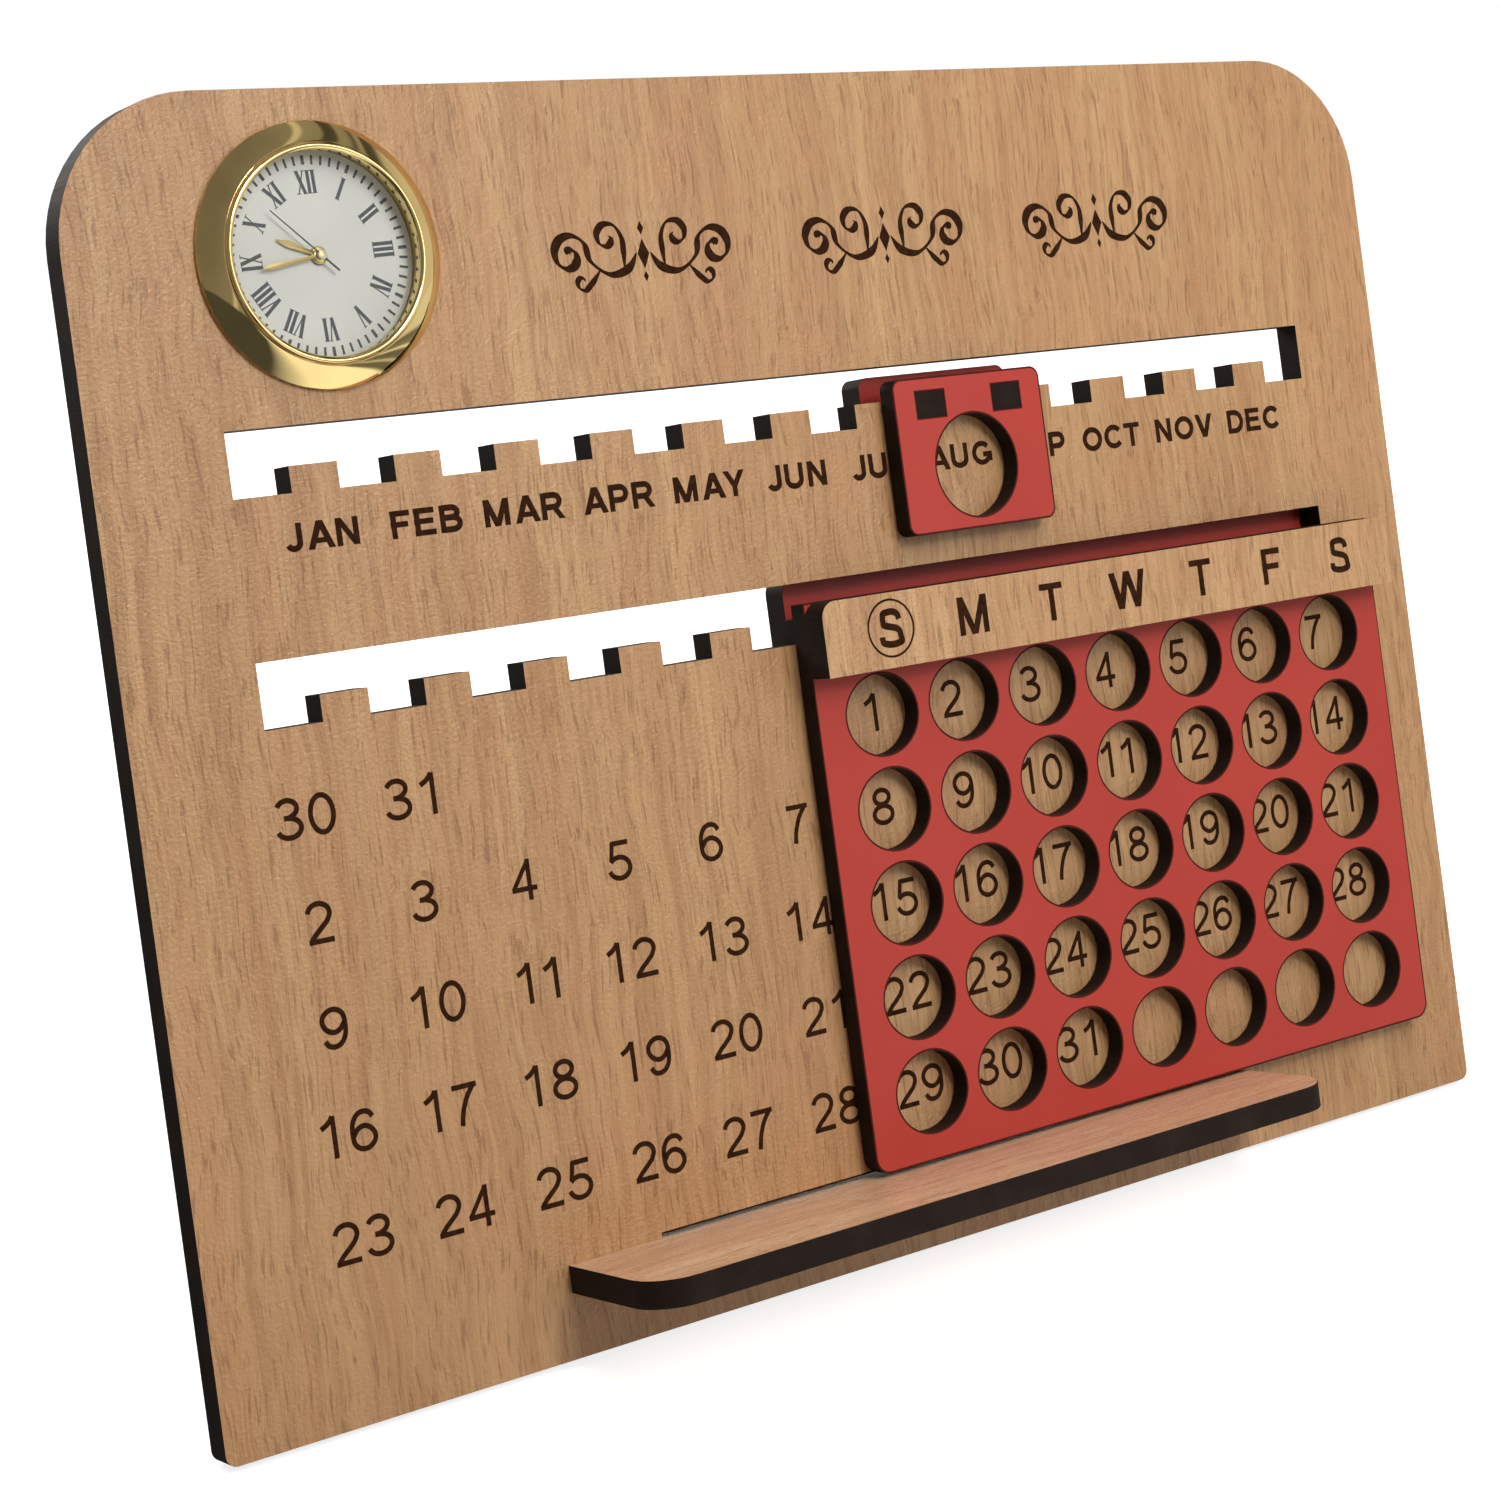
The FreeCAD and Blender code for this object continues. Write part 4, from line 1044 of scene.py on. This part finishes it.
FLOOR_HALF = 4.0
FLOOR_DROP = 0.0002


def banded(n, value, stops):
    """Shades along a value from -1 to 1, given as (place, grey) stops."""
    share = n.add("MapRange", {0: value, 1: -1.0, 2: 1.0}).outputs[0]
    return n.ramp(share, *(((x + 1) / 2, grey) for x, grey in stops))


def floor_material():
    """White to the camera, with the object's soft shadow. Polished parts see bright and dark bands on it."""
    made, n = material("floor")
    place = n.add("TexCoord").outputs["Object"]
    soft = n.noise(place, 3.0, 2)
    diffuse = n.add("BsdfDiffuse", {"Color": n.mix(soft, (0.52, 0.50, 0.47), (0.47, 0.45, 0.42))})
    across = n.add("SeparateXYZ", {0: place}).outputs["X"]
    stops = (
        (-0.15, 0.04), (-0.06, 1.0), (0.10, 1.0), (0.12, 0.12), (0.16, 0.12), (0.18, 0.55),
        (0.20, 0.14), (0.26, 0.12), (0.29, 0.80), (0.32, 0.20), (0.45, 0.12), (0.55, 0.60),
    )
    bands = n.mix(banded(n, across, stops), (0.02, 0.02, 0.02), (1.0, 0.97, 0.90))
    mirrored = n.add("Emission", {"Color": bands, "Strength": 1.25})
    away = n.add("VectorMath", {0: place}, operation="LENGTH").outputs["Value"]
    glow = n.add("Emission", {"Color": n.ramp(away, (0.22, 0.80), (0.55, 1.0)), "Strength": 1.0})
    pale = n.add("BsdfDiffuse", {"Color": (0.60, 0.60, 0.60, 1)})
    seen = n.add("AddShader", {0: glow.outputs[0], 1: pale.outputs[0]})
    path = n.add("LightPath").outputs
    inner = n.add("MixShader", {0: path["Is Glossy Ray"], 1: diffuse.outputs[0], 2: mirrored.outputs[0]})
    outer = n.add("MixShader", {0: path["Is Camera Ray"], 1: inner.outputs[0], 2: seen.outputs[0]})
    n.add("OutputMaterial", {"Surface": outer.outputs[0]})
    return made


def make_floor():
    mesh = bpy.data.meshes.new("floor")
    corners = [(FLOOR_HALF * x, FLOOR_HALF * y, 0) for x, y in ((-1, -1), (1, -1), (1, 1), (-1, 1))]
    mesh.from_pydata(corners, [], [(0, 1, 2, 3)])
    mesh.materials.append(floor_material())
    floor = bpy.data.objects.new("floor", mesh)
    floor.location.z = -FLOOR_DROP
    link(floor)


def make_world():
    """White to the camera. Polished parts see a banded room, brighter to the right, and others half of it."""
    world = bpy.data.worlds.new("studio")
    bpy.context.scene.world = world
    world.use_nodes = True
    n = Nodes(world.node_tree)
    direction = n.add("TexCoord").outputs["Generated"]
    across = n.add("VectorMath", {0: direction, 1: (0.8, 0.0, -0.6)}, operation="DOT_PRODUCT")
    stops = (
        (-0.70, 0.19), (-0.28, 0.26), (-0.25, 0.62), (-0.22, 0.62), (-0.19, 0.30), (-0.07, 0.27),
        (-0.04, 0.07), (0.03, 0.08), (0.06, 0.30), (0.12, 0.25), (0.15, 0.09), (0.19, 0.36),
        (0.22, 0.07), (0.28, 0.10), (0.34, 0.55), (0.45, 0.66),
    )
    colour = n.mix(banded(n, across.outputs["Value"], stops), (0, 0, 0), (1.0, 0.94, 0.84))
    path = n.add("LightPath").outputs
    strength = n.ramp(path["Is Glossy Ray"], (0.0, 0.50), (1.0, 1.0))
    soft = n.add("Background", {"Color": colour, "Strength": strength})
    white = n.add("Background", {"Color": (1, 1, 1, 1), "Strength": 1.0})
    mixed = n.add("MixShader", {0: path["Is Camera Ray"], 1: soft.outputs[0], 2: white.outputs[0]})
    n.add("OutputWorld", {"Surface": mixed.outputs[0]})


def area_light(name, place, target, size, power, colour):
    """A rectangular lamp, in metres and watts, turned towards a target."""
    data = bpy.data.lights.new(name, "AREA")
    data.shape = "RECTANGLE"
    data.size, data.size_y = size
    data.energy = power
    data.color = colour
    light = bpy.data.objects.new(name, data)
    light.location = place
    light.rotation_euler = (Vector(target) - Vector(place)).to_track_quat("-Z", "Y").to_euler()
    link(light)
    return light


def make_lamps():
    """A key and a softbox for the front, a window to the right, and lamps behind and overhead."""
    warm = (1.0, 0.97, 0.93)
    area_light("key", (0.08, -0.66, 0.60), (0.65, 0, -0.1), (0.17, 0.17), 2.0, warm)
    softbox = area_light("softbox", (0.10, -0.60, 0.88), (0.60, 0, -0.2), (0.60, 0.45), 4.0, warm)
    softbox.visible_glossy = False
    area_light("window", (0.50, -1.10, 0.54), (-0.08, 0, 0.15), (0.46, 0.46), 1.95, (1.0, 0.97, 0.95))
    area_light("rear", (-0.35, 1.25, 0.75), (0, 0, 0.1), (0.9, 0.9), 16.0, (1.0, 0.97, 0.94))
    ceiling = area_light("ceiling", (0.10, 0.12, 1.25), (0, 0, 0), (0.9, 0.9), 8.2, (1.0, 0.96, 0.94))
    ceiling.visible_glossy = False


make_floor()
make_world()
make_lamps()
bpy.context.scene.view_settings.view_transform = "Standard"
